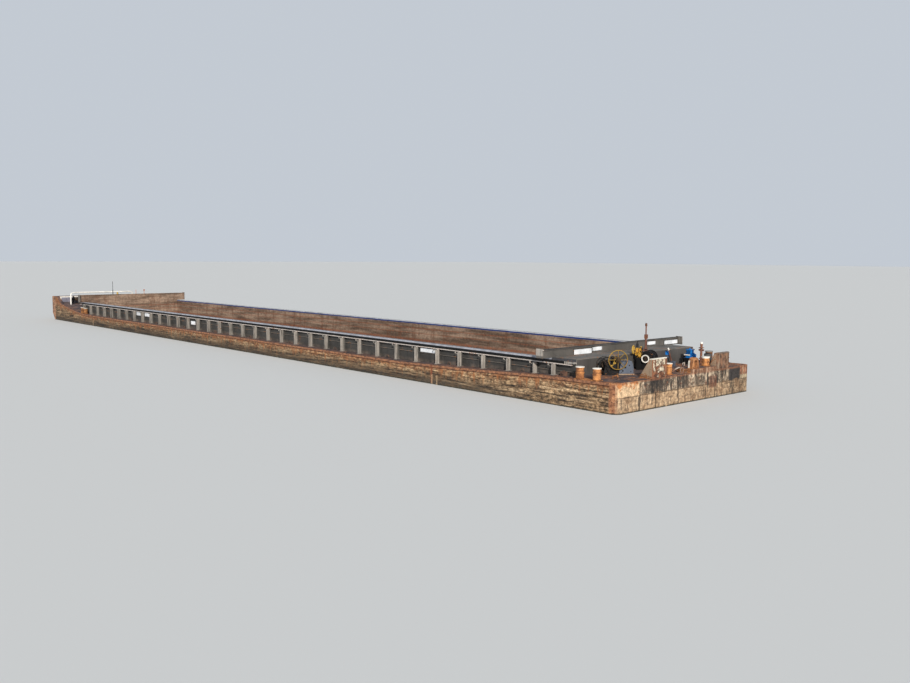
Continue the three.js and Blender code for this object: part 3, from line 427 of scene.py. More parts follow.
def hull_side(p):
    """Worn ochre plating: thin level scrapes, rust from the deck edge, a red guard bar with a painted shadow
    line under it, and a dark foot.
    """
    wide = p.noise(p.flat(), 0.3, 5, 0.6)
    grit = p.grain(2.4, 5.0, 1.9, 6, 0.78)
    blotch = p.grain(1.0, 1.6, 1.5, 7, 0.68)
    scrape = p.grain(0.3, 6.0, 1.25, 6, 0.7)
    hair = p.grain(0.5, 10.0, 1.4, 5, 0.68)
    runs = p.grain(4.0, 0.5, 1.2, 6, 0.7)
    colour = p.ramp(wide, 0.32, 0.66, (0.185, 0.114, 0.062), (0.3, 0.19, 0.104))
    colour = p.stain(colour, blotch, 0.5, 0.58, 0.8, (0.47, 0.32, 0.185))
    colour = p.stain(colour, blotch, 0.47, 0.39, 0.8, (0.075, 0.052, 0.037))
    colour = p.stain(colour, scrape, 0.48, 0.42, 0.95, (0.026, 0.018, 0.013))
    colour = p.stain(colour, scrape, 0.54, 0.6, 0.8, (0.56, 0.4, 0.245))
    colour = p.stain(colour, hair, 0.44, 0.38, 0.9, (0.03, 0.02, 0.014))
    colour = p.lit(colour, grit, 0.41, 0.6, 0.25, 1.68)
    colour = p.lit(colour, p.z, 3.0, 3.6, 0.8, 1.0)
    foot = p.times(p.below(p.z, 3.46, 0.3), p.fade(p.plus(grit, p.times(blotch, 0.6)), 0.7, 0.86))
    colour = p.mix(p.times(foot, p.fade(p.x, 4.5, 9.0, 0.1, 0.95)), colour, (0.03, 0.028, 0.025))
    colour = p.lit(colour, p.x, 16.0, 50.0, 1.0, 0.66)

    under = p.minus(p.deck(), p.z)
    edge = p.plus(under, p.sway(blotch, 1.3))
    rusty = p.ramp(grit, 0.42, 0.6, (0.11, 0.044, 0.024), (0.42, 0.17, 0.06))
    colour = p.stain(colour, edge, 0.42, 0.1, 0.72, rusty)
    drip = p.times(p.fade(runs, 0.53, 0.62), p.below(under, 0.62, 0.25))
    colour = p.mark(colour, drip, 0.75, (0.33, 0.12, 0.04))
    bar = p.above(p.off_centre(), PLATING + 0.008, 0.004)
    bar_colour = p.ramp(grit, 0.4, 0.62, (0.09, 0.045, 0.034), (0.42, 0.19, 0.095))
    colour = p.mark(colour, bar, 0.92, bar_colour)
    # Painted shadow: a thin dark line along the plating just under the guard bar
    line = p.between(under, GUARD_HEIGHT + 0.005, GUARD_HEIGHT + 0.05, 0.008)
    colour = p.mark(colour, line, 0.75, (0.06, 0.022, 0.014))

    end = p.below(p.plus(p.x, p.times(blotch, 0.12)), 0.5, 0.03)
    corner = p.times(end, p.above(p.off_centre(), 5.35, 0.02))
    flaked = p.ramp(grit, 0.4, 0.58, (0.085, 0.03, 0.018), (0.34, 0.15, 0.075))
    flaked = p.ramp(blotch, 0.52, 0.6, flaked, (0.52, 0.25, 0.12))
    colour = p.mark(colour, corner, 0.9, flaked)
    joint = p.between(p.x, 12.6, 12.74, 0.02)
    colour = p.mix(p.times(joint, p.fade(runs, 0.35, 0.55, 0.3, 0.8)), colour, (0.19, 0.055, 0.028))
    head = p.ramp(blotch, 0.4, 0.58, (0.11, 0.058, 0.042), (0.47, 0.255, 0.15))
    colour = p.mix(p.above(p.x, HEAD_AFT, 0.03), colour, p.lit(head, grit, 0.4, 0.61, 0.5, 1.35))
    return Coat(colour, 0.85, p.plus(p.times(grit, 0.5), scrape))


# Dark upright lines on the transom, columns: y, from height, to height
TRANSOM_LINES = [(3.96, 3.0, 4.3), (2.72, 3.0, 3.76), (-2.32, 3.0, 3.9), (-4.01, 3.0, 3.75),
                 (-3.0, 3.75, 4.38), (0.95, 3.4, 4.1)]
TRANSOM_SPLIT = 3.75


def transom(p):
    """Transom: dark streaked and blackened upper strake, pale scraped lower strake with thin black runs."""
    grit = p.grain(3.0, 3.6, 1.9, 6, 0.75)
    blotch = p.grain(1.0, 1.2, 1.35, 7, 0.68)
    scrape = p.grain(0.7, 6.5, 1.3, 6, 0.7)
    streak = p.grain(4.2, 0.55, 1.15, 7, 0.72)
    thread = p.grain(8.0, 0.45, 1.2, 5, 0.7)
    low = p.ramp(blotch, 0.4, 0.6, (0.23, 0.142, 0.082), (0.54, 0.385, 0.245))
    low = p.stain(low, scrape, 0.45, 0.38, 0.6, (0.095, 0.062, 0.038))
    low = p.stain(low, thread, 0.57, 0.63, 0.9, (0.034, 0.025, 0.019))
    smudge = p.fade(p.plus(p.times(streak, 0.75), p.times(blotch, 0.4)), 0.605, 0.665, 0, 0.85)
    low = p.mix(smudge, low, (0.05, 0.037, 0.029))
    low = p.lit(low, p.y, -4.0, -2.6, 0.72, 1.0)
    high = p.ramp(blotch, 0.43, 0.55, (0.145, 0.105, 0.075), (0.64, 0.5, 0.365))
    sooty = p.plus(p.plus(p.times(streak, 0.7), p.times(blotch, 0.45)), p.fade(p.y, -1.6, 2.2, -0.025, 0.022))
    high = p.stain(high, sooty, 0.555, 0.6, 0.93, (0.022, 0.018, 0.016))
    high = p.stain(high, thread, 0.54, 0.61, 0.66, (0.04, 0.032, 0.026))
    stain = p.grain(1.4, 1.0, 2.6, 5, 0.6)
    high = p.stain(high, stain, 0.56, 0.62, 0.7, (0.16, 0.055, 0.026))
    black = p.all_of(p.between(p.plus(p.y, p.times(blotch, 0.8)), 2.6, 3.7, 0.2), p.fade(blotch, 0.36, 0.46))
    high = p.mark(high, black, 0.9, (0.02, 0.017, 0.016))
    high = p.lit(high, p.y, -3.4, 0.0, 0.55, 1.0)
    tar = p.between(p.plus(p.y, p.times(blotch, 0.3)), -4.52, -3.45, 0.06)
    high = p.mix(p.times(tar, p.fade(streak, 0.64, 0.56, 0.6, 0.95)), high, (0.026, 0.023, 0.024))
    orange = p.fade(p.plus(blotch, p.fade(p.z, 4.45, 3.9, 0.09, -0.08)), 0.5, 0.56)
    bright = p.mix(orange, (0.56, 0.395, 0.245), (0.43, 0.165, 0.055))
    high = p.mix(p.above(p.plus(p.y, p.times(streak, 0.9)), 4.35, 0.15), high, bright)
    block = p.ramp(streak, 0.45, 0.6, (0.21, 0.078, 0.045), (0.3, 0.19, 0.12))
    block = p.mix(p.above(p.z, 3.96, 0.03), (0.33, 0.26, 0.175), block)
    high = p.mix(p.below(p.y, -4.68, 0.05), high, block)
    split = p.plus(p.z, p.times(p.minus(p.plus(streak, blotch), 1.0), 0.3))
    colour = p.mix(p.above(split, TRANSOM_SPLIT, 0.03), low, high)
    ledge = p.between(p.z, TRANSOM_SPLIT - 0.04, TRANSOM_SPLIT, 0.006)
    colour = p.mark(colour, ledge, 0.7, (0.055, 0.035, 0.024))
    for y, foot, head in TRANSOM_LINES:
        run = p.plus(p.y, p.sway(blotch, 0.1))
        mark = p.times(p.between(run, y - 0.035, y + 0.035, 0.02), p.between(p.z, foot, head, 0.05))
        colour = p.mark(colour, mark, 0.9, (0.024, 0.019, 0.016))
    ragged = p.sway(grit, 0.25)
    across = p.between(p.plus(p.y, ragged), -2.44, -1.74, 0.05)
    patch = p.times(across, p.between(p.plus(p.z, ragged), 3.55, 4.14, 0.05))
    colour = p.mark(colour, patch, 0.8, p.mix(grit, (0.05, 0.018, 0.012), (0.15, 0.05, 0.028)))
    edge = p.above(p.plus(p.z, p.times(blotch, 0.16)), 4.42, 0.04)
    colour = p.mark(colour, edge, 0.6, (0.23, 0.095, 0.048))
    colour = p.lit(colour, grit, 0.4, 0.6, 0.55, 1.35)
    return Coat(colour, 0.82, p.plus(p.times(grit, 0.5), scrape))


def deck_plate(p):
    """Deck: dark purplish-grey paint worn to rust, most of all along the edges."""
    broad = p.speck(0.55, 6, 0.65)
    grit = p.speck(6.0, 7, 0.75)
    patches = p.speck(1.9, 6, 0.68)
    colour = p.ramp(patches, 0.38, 0.62, (0.04, 0.034, 0.044), (0.15, 0.11, 0.108))
    rusty = p.ramp(grit, 0.4, 0.62, (0.11, 0.042, 0.022), (0.43, 0.18, 0.078))
    edge = p.fade(p.off_centre(), 5.0, 5.6, 0.0, 0.12)
    aft = p.fade(p.x, 1.0, 0.0, 0.0, 0.05)
    worn = p.fade(p.plus(p.plus(p.times(broad, 0.45), p.times(patches, 0.55)), p.plus(edge, aft)), 0.5, 0.58)
    side = p.fade(p.x, 4.6, 6.5, 1.0, 0.35)
    colour = p.mix(p.all_of(worn, side), colour, rusty)
    return Coat(p.lit(colour, grit, 0.36, 0.66, 0.6, 1.35), 0.85, grit)


def hold_plate(p):
    """Hold plating: tan, scoured, with level rust lines and darker towards the floor."""
    scour = p.grain(0.25, 2.2, 1.3, 6, 0.7)
    runs = p.grain(2.4, 0.5, 0.9, 6, 0.7)
    grit = p.speck(6.0, 7, 0.7)
    colour = p.ramp(scour, 0.4, 0.6, (0.105, 0.069, 0.05), (0.335, 0.236, 0.176))
    colour = p.stain(colour, runs, 0.5, 0.64, 0.6, (0.13, 0.058, 0.034))
    for level, half in ((4.67, 0.04), (3.76, 0.12), (4.3, 0.03)):
        wave = p.sway(runs, 0.15)
        line = p.between(p.plus(p.z, wave), level - half, level + half, 0.03)
        colour = p.mix(p.times(line, p.fade(grit, 0.35, 0.6, 0.2, 0.8)), colour, (0.23, 0.075, 0.036))
    colour = p.lit(colour, grit, 0.36, 0.66, 0.7, 1.25)
    dark = p.fade(p.z, 3.4, 0.8, 0.0, 0.55)
    colour = p.mix(dark, colour, (0.085, 0.062, 0.05))
    dust = p.speck(0.7, 7, 0.65)
    swept = p.noise(p.stretched(0.5, 2.5, 1.0), 1.0, 5, 0.6)
    ground = p.ramp(dust, 0.4, 0.6, (0.036, 0.03, 0.027), (0.105, 0.08, 0.062))
    ground = p.stain(ground, swept, 0.5, 0.62, 0.6, (0.15, 0.078, 0.048))
    colour = p.mix(p.above(p.nz, 0.7, 0.1), colour, p.lit(ground, grit, 0.38, 0.62, 0.7, 1.25))
    return Coat(colour, 0.88, p.plus(scour, grit))


def wetted(p, coat):
    """The hull below its waterline: dark growth, with a wet line along the top."""
    growth = p.speck(3.0, 6, 0.7)
    depth = p.plus(p.z, p.sway(growth, 0.16))
    colour = p.ramp(growth, 0.4, 0.65, (0.022, 0.022, 0.014), (0.06, 0.05, 0.03))
    return p.layer(p.below(depth, WATERLINE + 0.06, 0.03), coat, Coat(colour, 0.55, growth))


def hull_paint():
    p = Paint("hull_paint")
    coat = p.layer(p.below(p.nx, -0.72, 0.1), hull_side(p), transom(p))
    coat = p.layer(p.all_of(p.below(p.nx, -0.72, 0.1), p.above(p.x, 1.0)), coat, hull_side(p))
    coat = wetted(p, coat)
    coat = p.layer(p.above(p.nz, 0.7, 0.05), coat, deck_plate(p))
    inside = p.all_of(p.below(p.off_centre(), HOLD_HALF + 0.03, 0.005),
                      p.between(p.x, HOLD_AFT - 0.01, HOLD_FORE + 0.01, 0.005))
    return p.finish(p.layer(inside, coat, hold_plate(p)), dents=p.noise(p.flat(), 0.45, 2, 0.4))


STAY_GREY = (0.355, 0.33, 0.305)
STAY_ROOT = 5.01
WALL_GREY = (0.045, 0.044, 0.043)


def stay_coat(p):
    """Pale grey paint of the stays, with thin dark runs down it."""
    coat = painted(p, STAY_GREY, chips=0.18, grime=0.5, rough=0.6, scale=4.0)
    thread = p.noise(p.join(p.times(p.x, 9.0), p.times(p.y, 14.0), p.times(p.z, 0.5)), 1.1, 4, 0.6)
    colour = p.stain(coat.colour, thread, 0.52, 0.6, 0.75, (0.055, 0.05, 0.045))
    colour = p.lit(colour, p.x, 12.0, 48.0, 0.92, 0.58)
    return Coat(colour, coat.rough, coat.height)


def coaming_paint():
    """Coaming: a dark rail, partly painted shade, with a painted highlight along its upper edge; dark wall,
    pale lip and stays; inside, navy rail with a painted highlight along its top, and bare plating.
    """
    p = Paint("coaming_paint")
    out = p.off_centre()
    coat = painted(p, WALL_GREY, chips=0.03, grime=0.45, rough=0.6)
    foot = p.below(p.above_deck(), 0.16, 0.06)
    dust = p.times(foot, p.fade(p.speck(2.0, 4), 0.35, 0.6))
    coat = p.cover(coat, p.times(dust, 0.7), (0.13, 0.105, 0.09), chips=0.1)
    # The stays are pale only outboard of STAY_ROOT; inboard of it they keep the wall's dark colour, which
    # narrows their pale sides
    stay = p.all_of(p.above(out, STAY_ROOT, 0.012), p.below(p.z, 4.87, 0.005))
    coat = p.layer(stay, coat, stay_coat(p))
    lip = p.all_of(p.above(out, 5.05, 0.01), p.between(p.z, 4.87, 4.93, 0.003))
    coat = p.cover(coat, lip, (0.5, 0.455, 0.43), chips=0.25, grime=0.4)
    rail = p.above(p.z, 5.005, 0.004)
    inner = p.below(out, HOLD_HALF + 0.01, 0.004)
    coat = p.layer(p.all_of(inner, p.between(p.x, PANEL_AFT, 68.17, 0.02)), coat, hold_plate(p))
    # The rail's dark paint, which on the lower half of the outer bead is also painted shade; over it a
    # painted highlight along the bead's upper half and along the top's inner edge
    rail_coat = painted(p, (0.02, 0.022, 0.034), chips=0.1, grime=0.2, rough=0.4)
    bright = painted(p, (0.32, 0.335, 0.385), chips=0.08, grime=0.4, rough=0.4, scale=5.0)
    edge = p.any_of(p.all_of(p.above(p.z, 5.07, 0.012), p.above(out, 4.99, 0.01)),
                    p.all_of(p.below(out, HOLD_HALF + 0.07, 0.01), p.above(p.nz, 0.7, 0.1)))
    rail_coat = p.layer(edge, rail_coat, bright)
    # Inside, the rail's navy paint with a pale painted highlight along its top
    navy = painted(p, (0.008, 0.034, 0.165), chips=0.03, grime=0.3, rough=0.5)
    navy = p.cover(navy, p.above(p.z, 5.1, 0.006), (0.52, 0.54, 0.6), chips=0.06)
    rail_coat = p.layer(p.below(p.times(p.ny, p.math("SIGN", p.y)), -0.5, 0.1), rail_coat, navy)
    # Aft of the end panel the rail is dark all over, without the painted highlight
    dark = p.below(p.x, PANEL_AFT, 0.02)
    rail_coat = p.cover(rail_coat, dark, (0.04, 0.042, 0.05), chips=0.15)
    return p.finish(p.layer(rail, coat, rail_coat))


def end_paint(name, facing, outside):
    """An end panel: weathered paint outside, scoured plating on the hold's side."""
    p = Paint(name)
    broad = p.grain(0.6, 1.0, 0.8, 5, 0.6)
    coat = painted(p, outside, chips=0.04, grime=0.35, rough=0.5, scale=1.6)
    coat = p.cover(coat, p.fade(broad, 0.48, 0.62, 0, 0.5), shade(outside, 1.5), chips=0.1)
    rim = p.all_of(p.above(p.z, 5.545, 0.006), p.below(p.times(p.nx, facing), 0.5, 0.1))
    coat = p.cover(coat, rim, (0.02, 0.02, 0.022), chips=0.05)
    hold = p.above(p.times(p.nx, facing), 0.5, 0.1)
    coat = p.layer(hold, coat, hold_plate(p))
    post = p.above(p.off_centre(), 5.612, 0.005)
    coat = p.layer(p.times(post, p.above(p.z, 5.26, 0.02)), coat, stay_coat(p))
    return p.finish(coat)


def trunk_paint():
    p = Paint("trunk_paint")
    coat = painted(p, (0.07, 0.066, 0.064), chips=0.03, grime=0.4, rough=0.55, scale=1.6)
    coat = p.layer(p.above(p.nz, 0.7, 0.1), coat, deck_plate(p))
    corner = p.any_of(p.above(p.off_centre(), HOLD_HALF - 0.06, 0.01), p.above(p.z, 5.13, 0.01))
    return p.finish(p.cover(coat, corner, (0.14, 0.135, 0.13), chips=0.3))


def knee_paint():
    """Port knee: chipped cream face between rusty edge strips, white top, tan sides."""
    p = Paint("knee_port")
    blotch = p.speck(3.3, 7, 0.72)
    fine = p.speck(11.0, 7, 0.75)
    cream = p.ramp(fine, 0.45, 0.53, (0.11, 0.086, 0.064), (0.68, 0.59, 0.45))
    worn = p.fade(p.plus(blotch, p.fade(p.z, 5.1, 4.45, -0.02, 0.12)), 0.51, 0.55)
    rusty = rust(p, (0.036, 0.016, 0.011), (0.105, 0.042, 0.025), (0.24, 0.098, 0.048), scale=5.0)
    face = p.layer(worn, Coat(cream, 0.6, fine), rusty)
    stain = p.ramp(blotch, 0.4, 0.6, (0.13, 0.05, 0.028), (0.29, 0.12, 0.06))
    strip = p.any_of(p.above(p.y, 2.97, 0.01), p.below(p.y, 2.03, 0.01))
    face = p.layer(strip, face, Coat(stain, 0.8, fine))
    side = painted(p, (0.3, 0.225, 0.16), chips=0.4, grime=0.5)
    orange = p.below(p.plus(p.z, p.times(blotch, 0.5)), 4.78, 0.06)
    side = p.layer(p.times(orange, 0.5), side, rusty)
    coat = p.layer(p.below(p.nx, -0.5, 0.1), side, face)
    return p.finish(p.cover(coat, p.above(p.z, 5.3, 0.006), (0.64, 0.61, 0.54), chips=0.2))


def starboard_knee_paint():
    p = Paint("knee_starboard")
    coat = rust(p, (0.04, 0.022, 0.016), (0.11, 0.055, 0.034), (0.23, 0.12, 0.072), scale=3.2)
    streak = p.noise(p.stretched(6.0, 8.0, 0.9), 1.1, 6, 0.7)
    pale = Coat((0.33, 0.24, 0.17), 0.85, streak)
    coat = p.layer(p.fade(streak, 0.54, 0.62, 0, 0.8), coat, pale)
    side = p.above(p.ny, 0.5, 0.1)
    coat = p.cover(coat, side, (0.3, 0.215, 0.155), chips=0.45, grime=0.5)
    top = p.above(p.z, 5.19, 0.006)
    return p.finish(p.cover(coat, top, (0.16, 0.12, 0.1), chips=0.4))


CAP_WHITE = (0.76, 0.74, 0.69)
# The white cap darkened to grey, painted shade
CAP_IN_PAINTED_SHADE = (0.23, 0.22, 0.21)


def bollard_paint(name, cap, paint=CAP_WHITE, light_level=1.0):
    """Rusted bollard, painted from the height cap above the deck up; the last argument scales the rust's
    tones, and below 1 is painted shade.
    """
    p = Paint(name)
    height = p.above_deck()
    tones = ((0.12, 0.044, 0.02), (0.34, 0.14, 0.052), (0.6, 0.27, 0.095))
    coat = rust(p, *[shade(tone, light_level) for tone in tones], scale=4.2)
    for level, strength in ((cap - 0.18, 0.8), (cap - 0.36, 0.3)):
        band = p.between(height, level - 0.02, level + 0.02, 0.015)
        coat = p.layer(p.times(band, strength), coat, rust(p, RUST_DARK, RUST_DARK, RUST_MID))
    top = painted(p, paint, chips=0.1, grime=0.2, rough=0.5)
    return p.finish(p.layer(p.above(height, cap, 0.005), coat, top))


def fairlead_paint():
    p = Paint("fairlead_paint")
    coat = rust(p, (0.11, 0.045, 0.022), (0.3, 0.125, 0.052), (0.46, 0.215, 0.09), scale=4.0)
    edge = p.all_of(p.above(p.y, -0.345, 0.01), p.above(p.z, 4.63, 0.01), p.above(p.x, 0.2, 0.01))
    return p.finish(p.cover(coat, edge, (0.72, 0.69, 0.63), chips=0.3))


MACHINE_BLACK = (0.009, 0.009, 0.01)
MACHINE_BLUE = (0.008, 0.175, 0.56)


def port_winch_paint():
    p = Paint("port_winch_bed_paint")
    _, across, up = p.in_frame(*PORT_WINCH)
    coat = painted(p, MACHINE_BLACK, chips=0.15, grime=0.2, rough=0.5, scale=4.0)
    bed = painted(p, (0.33, 0.255, 0.19), chips=0.45, grime=0.45, scale=4.0)
    plinth = p.all_of(p.below(up, 0.065, 0.004), p.above(across, 0.08, 0.02))
    return p.finish(p.layer(plinth, coat, bed), gloss=0.2)


def reach_from(p, across, up, height):
    """Distance from a winch's axis, which lies at a height above the deck."""
    rise = p.minus(up, height)
    return p.math("SQRT", p.plus(p.times(across, across), p.times(rise, rise)))


def power_unit_paint():
    """Blue machine on a black frame."""
    p = Paint("power_unit_paint")
    coat = painted(p, MACHINE_BLACK, chips=0.15, grime=0.3, rough=0.5)
    blue = painted(p, MACHINE_BLUE, chips=0.0, grime=0.35, rough=0.5)
    top = p.above(p.above_deck(), 0.34, 0.01)
    return p.finish(p.layer(top, coat, blue), gloss=0.25)


def switch_box_paint():
    p = Paint("switch_box_paint")
    coat = painted(p, (0.082, 0.1, 0.14), chips=0.08, grime=0.5, rough=0.5, scale=5.0)
    blue = painted(p, MACHINE_BLUE, chips=0.0, grime=0.3, rough=0.5)
    return p.finish(p.layer(p.above(p.z, 4.89, 0.01), coat, blue))


def handwheel_paint():
    """Worn yellow rim and spokes round a dark hub."""
    p = Paint("port_winch_handwheel_paint")
    _, across, up = p.in_frame(*PORT_WINCH)
    reach = reach_from(p, across, up, PORT_WHEEL_AXIS)
    coat = painted(p, (0.47, 0.3, 0.048), chips=0.34, grime=0.6, rough=0.5, scale=6.0)
    spokes = painted(p, (0.25, 0.155, 0.028), chips=0.36, scale=6.0)
    coat = p.layer(p.below(reach, 0.465, 0.01), coat, spokes)
    hub = p.below(reach, 0.14, 0.01)
    return p.finish(p.layer(hub, coat, painted(p, (0.06, 0.036, 0.014), chips=0.3, scale=6.0)), gloss=0.25)


def centre_winch_paint():
    """Black frame with a yellow gear case, black patches and painted shadow lines on the case."""
    p = Paint("centre_winch_bed_paint")
    along, across, up = p.in_frame(*CENTRE_WINCH)
    coat = painted(p, MACHINE_BLACK, chips=0.2, grime=0.2, rough=0.5, scale=4.0)
    case = p.all_of(p.above(along, 0.495, 0.004), p.below(across, -0.23, 0.004), p.above(up, 0.62, 0.02))
    gold = painted(p, (0.56, 0.29, 0.035), chips=0.3, grime=0.6, scale=6.0)
    patches = p.speck(7.0, 4, 0.6)
    # Painted shadow: thin black lines across the gear case
    painted_shadow_lines = p.any_of(p.between(up, 0.8, 0.83, 0.01), p.between(across, -0.37, -0.34, 0.01))
    gold = p.layer(p.any_of(p.fade(patches, 0.54, 0.58), p.times(painted_shadow_lines, 0.9)), gold, coat)
    return p.finish(p.layer(case, coat, gold), gloss=0.25)


def centre_drum_paint():
    """Black drum with a white-rimmed warping head."""
    p = Paint("centre_winch_drum_paint")
    along, across, up = p.in_frame(*CENTRE_WINCH)
    coat = painted(p, MACHINE_BLACK, chips=0.2, grime=0.2, rough=0.45, scale=4.0)
    reach = reach_from(p, across, up, CENTRE_AXIS)
    head = p.above(along, 0.555, 0.004)
    dark = rust(p, (0.008, 0.007, 0.006), (0.018, 0.014, 0.012), (0.06, 0.034, 0.022), scale=5.0)
    coat = p.layer(head, coat, dark)
    rim = p.all_of(head, p.above(reach, 0.135, 0.006))
    white = painted(p, (0.74, 0.72, 0.68), chips=0.15, rough=0.45)
    return p.finish(p.layer(rim, coat, white), gloss=0.2)


def bow_plate_paint():
    p = Paint("bow_plate_paint")
    coat = painted(p, (0.2, 0.2, 0.26), chips=0.22, grime=0.45, rough=0.5, scale=2.4)
    edge = p.any_of(p.above(p.z, 5.4, 0.01), p.above(p.off_centre(), 5.2, 0.01))
    return p.finish(p.cover(coat, edge, (0.76, 0.75, 0.72), chips=0.2))


def plain_paint(name, paint, gloss=0.4, **wear):
    p = Paint(name)
    return p.finish(painted(p, paint, **wear), gloss=gloss)


def rust_paint(name, *tones, scale=3.0):
    p = Paint(name)
    return p.finish(rust(p, *tones, scale=scale))


# Paints by slot, then those of single nodes
SLOT_PAINTS = {
    "hull": hull_paint(),
    "coaming_grey": plain_paint("coaming_grey", (0.075, 0.075, 0.077), chips=0.2, grime=0.4, rough=0.55),
    "knee_paint": knee_paint(),
    "rusty_steel": rust_paint("rusty_steel"),
    "blue_grey": plain_paint("blue_grey", (0.082, 0.1, 0.14), chips=0.08, grime=0.5, rough=0.5, scale=5.0),
    "machine_black": plain_paint("machine_black", MACHINE_BLACK, gloss=0.2, chips=0.15, grime=0.3, rough=0.5),
    "yellow": plain_paint("yellow", (0.47, 0.3, 0.048), chips=0.3, grime=0.6, rough=0.5, scale=6.0),
    "blue": plain_paint("blue", MACHINE_BLUE, gloss=0.25, chips=0.0, grime=0.3, rough=0.5),
    "mast_brown": plain_paint("mast_brown", (0.17, 0.07, 0.05), chips=0.45, grime=0.3, rough=0.6, scale=5.0),
    "white_paint": plain_paint("white_paint", (0.74, 0.73, 0.7), chips=0.1, grime=0.3, rough=0.45),
}
COAMING = coaming_paint()
TRUNK = trunk_paint()
# The bow bollards: the stern bollards' paint with cap and rust darkened, painted shade
BOW_BOLLARD = bollard_paint("bollard_bow_paint", 0.525, shade(CAP_WHITE, 0.6), 0.55)
NODE_PAINTS = {
    "coaming_port": COAMING,
    "coaming_starboard": COAMING,
    "trunk_aft": TRUNK,
    "trunk_fore": TRUNK,
    "end_panel_aft": end_paint("end_panel_aft_paint", 1, (0.092, 0.086, 0.08)),
    "end_panel_fore": end_paint("end_panel_fore_paint", -1, (0.11, 0.095, 0.085)),
    "push_knee_starboard": starboard_knee_paint(),
    "bollards_stern_port": bollard_paint("bollard_port_paint", 0.548),
    # The starboard stern bollards: grey cap and darkened rust, painted shade
    "bollards_stern_starboard": bollard_paint("bollard_starboard_paint", 0.525, CAP_IN_PAINTED_SHADE, 0.6),
    "bollards_bow_port": BOW_BOLLARD,
    "bollards_bow_starboard": BOW_BOLLARD,
    "bollard_stern_centre": bollard_paint("bollard_centre_paint", 0.52),
    "bollard_stern_knee": bollard_paint("bollard_knee_paint", 0.565),
    "fairlead": fairlead_paint(),
    "port_winch_bed": port_winch_paint(),
    "port_winch_handwheel": handwheel_paint(),
    "power_unit": power_unit_paint(),
    "switch_box": switch_box_paint(),
    "mooring_eye": plain_paint("mooring_eye_paint", (0.23, 0.15, 0.115), chips=0.4, grime=0.4, scale=6.0),
    "centre_winch_bed": centre_winch_paint(),
    "centre_winch_drum": centre_drum_paint(),
    "bow_plate": bow_plate_paint(),
}


def paint_nodes():
    slots = {row["node"]: row["material_slot"] for row in frame["record"]["subparts"]}
    for name, node in frame["nodes"].items():
        node.data.materials.clear()
        node.data.materials.append(NODE_PAINTS.get(name, SLOT_PAINTS[slots[name]]))


def stay_paint():
    p = Paint("stay_paint")
    return p.finish(stay_coat(p))


STAY_PAINT = stay_paint()
STRINGER_PAINT = plain_paint("stringer_paint", (0.11, 0.1, 0.092), chips=0.3, grime=0.5)
BOARD_PAINT = plain_paint("board_paint", (0.68, 0.71, 0.76), chips=0.03, grime=0.25, rough=0.5)
DULL_RUST = rust_paint("dull_rust", (0.03, 0.02, 0.018), (0.085, 0.048, 0.038), (0.17, 0.09, 0.06))
TAN_PAINT = plain_paint("tan_paint", (0.47, 0.33, 0.2), chips=0.25, grime=0.4)
WIRE_PAINT = rust_paint("wire_paint", (0.018, 0.014, 0.012), (0.045, 0.034, 0.028), (0.09, 0.06, 0.04))
HOOK_PAINT = plain_paint("hook_paint", (0.48, 0.43, 0.39), chips=0.45, scale=7.0)
MARKER_PAINT = plain_paint("marker_paint", (0.5, 0.26, 0.2), chips=0.1, grime=0.2, rough=0.6)


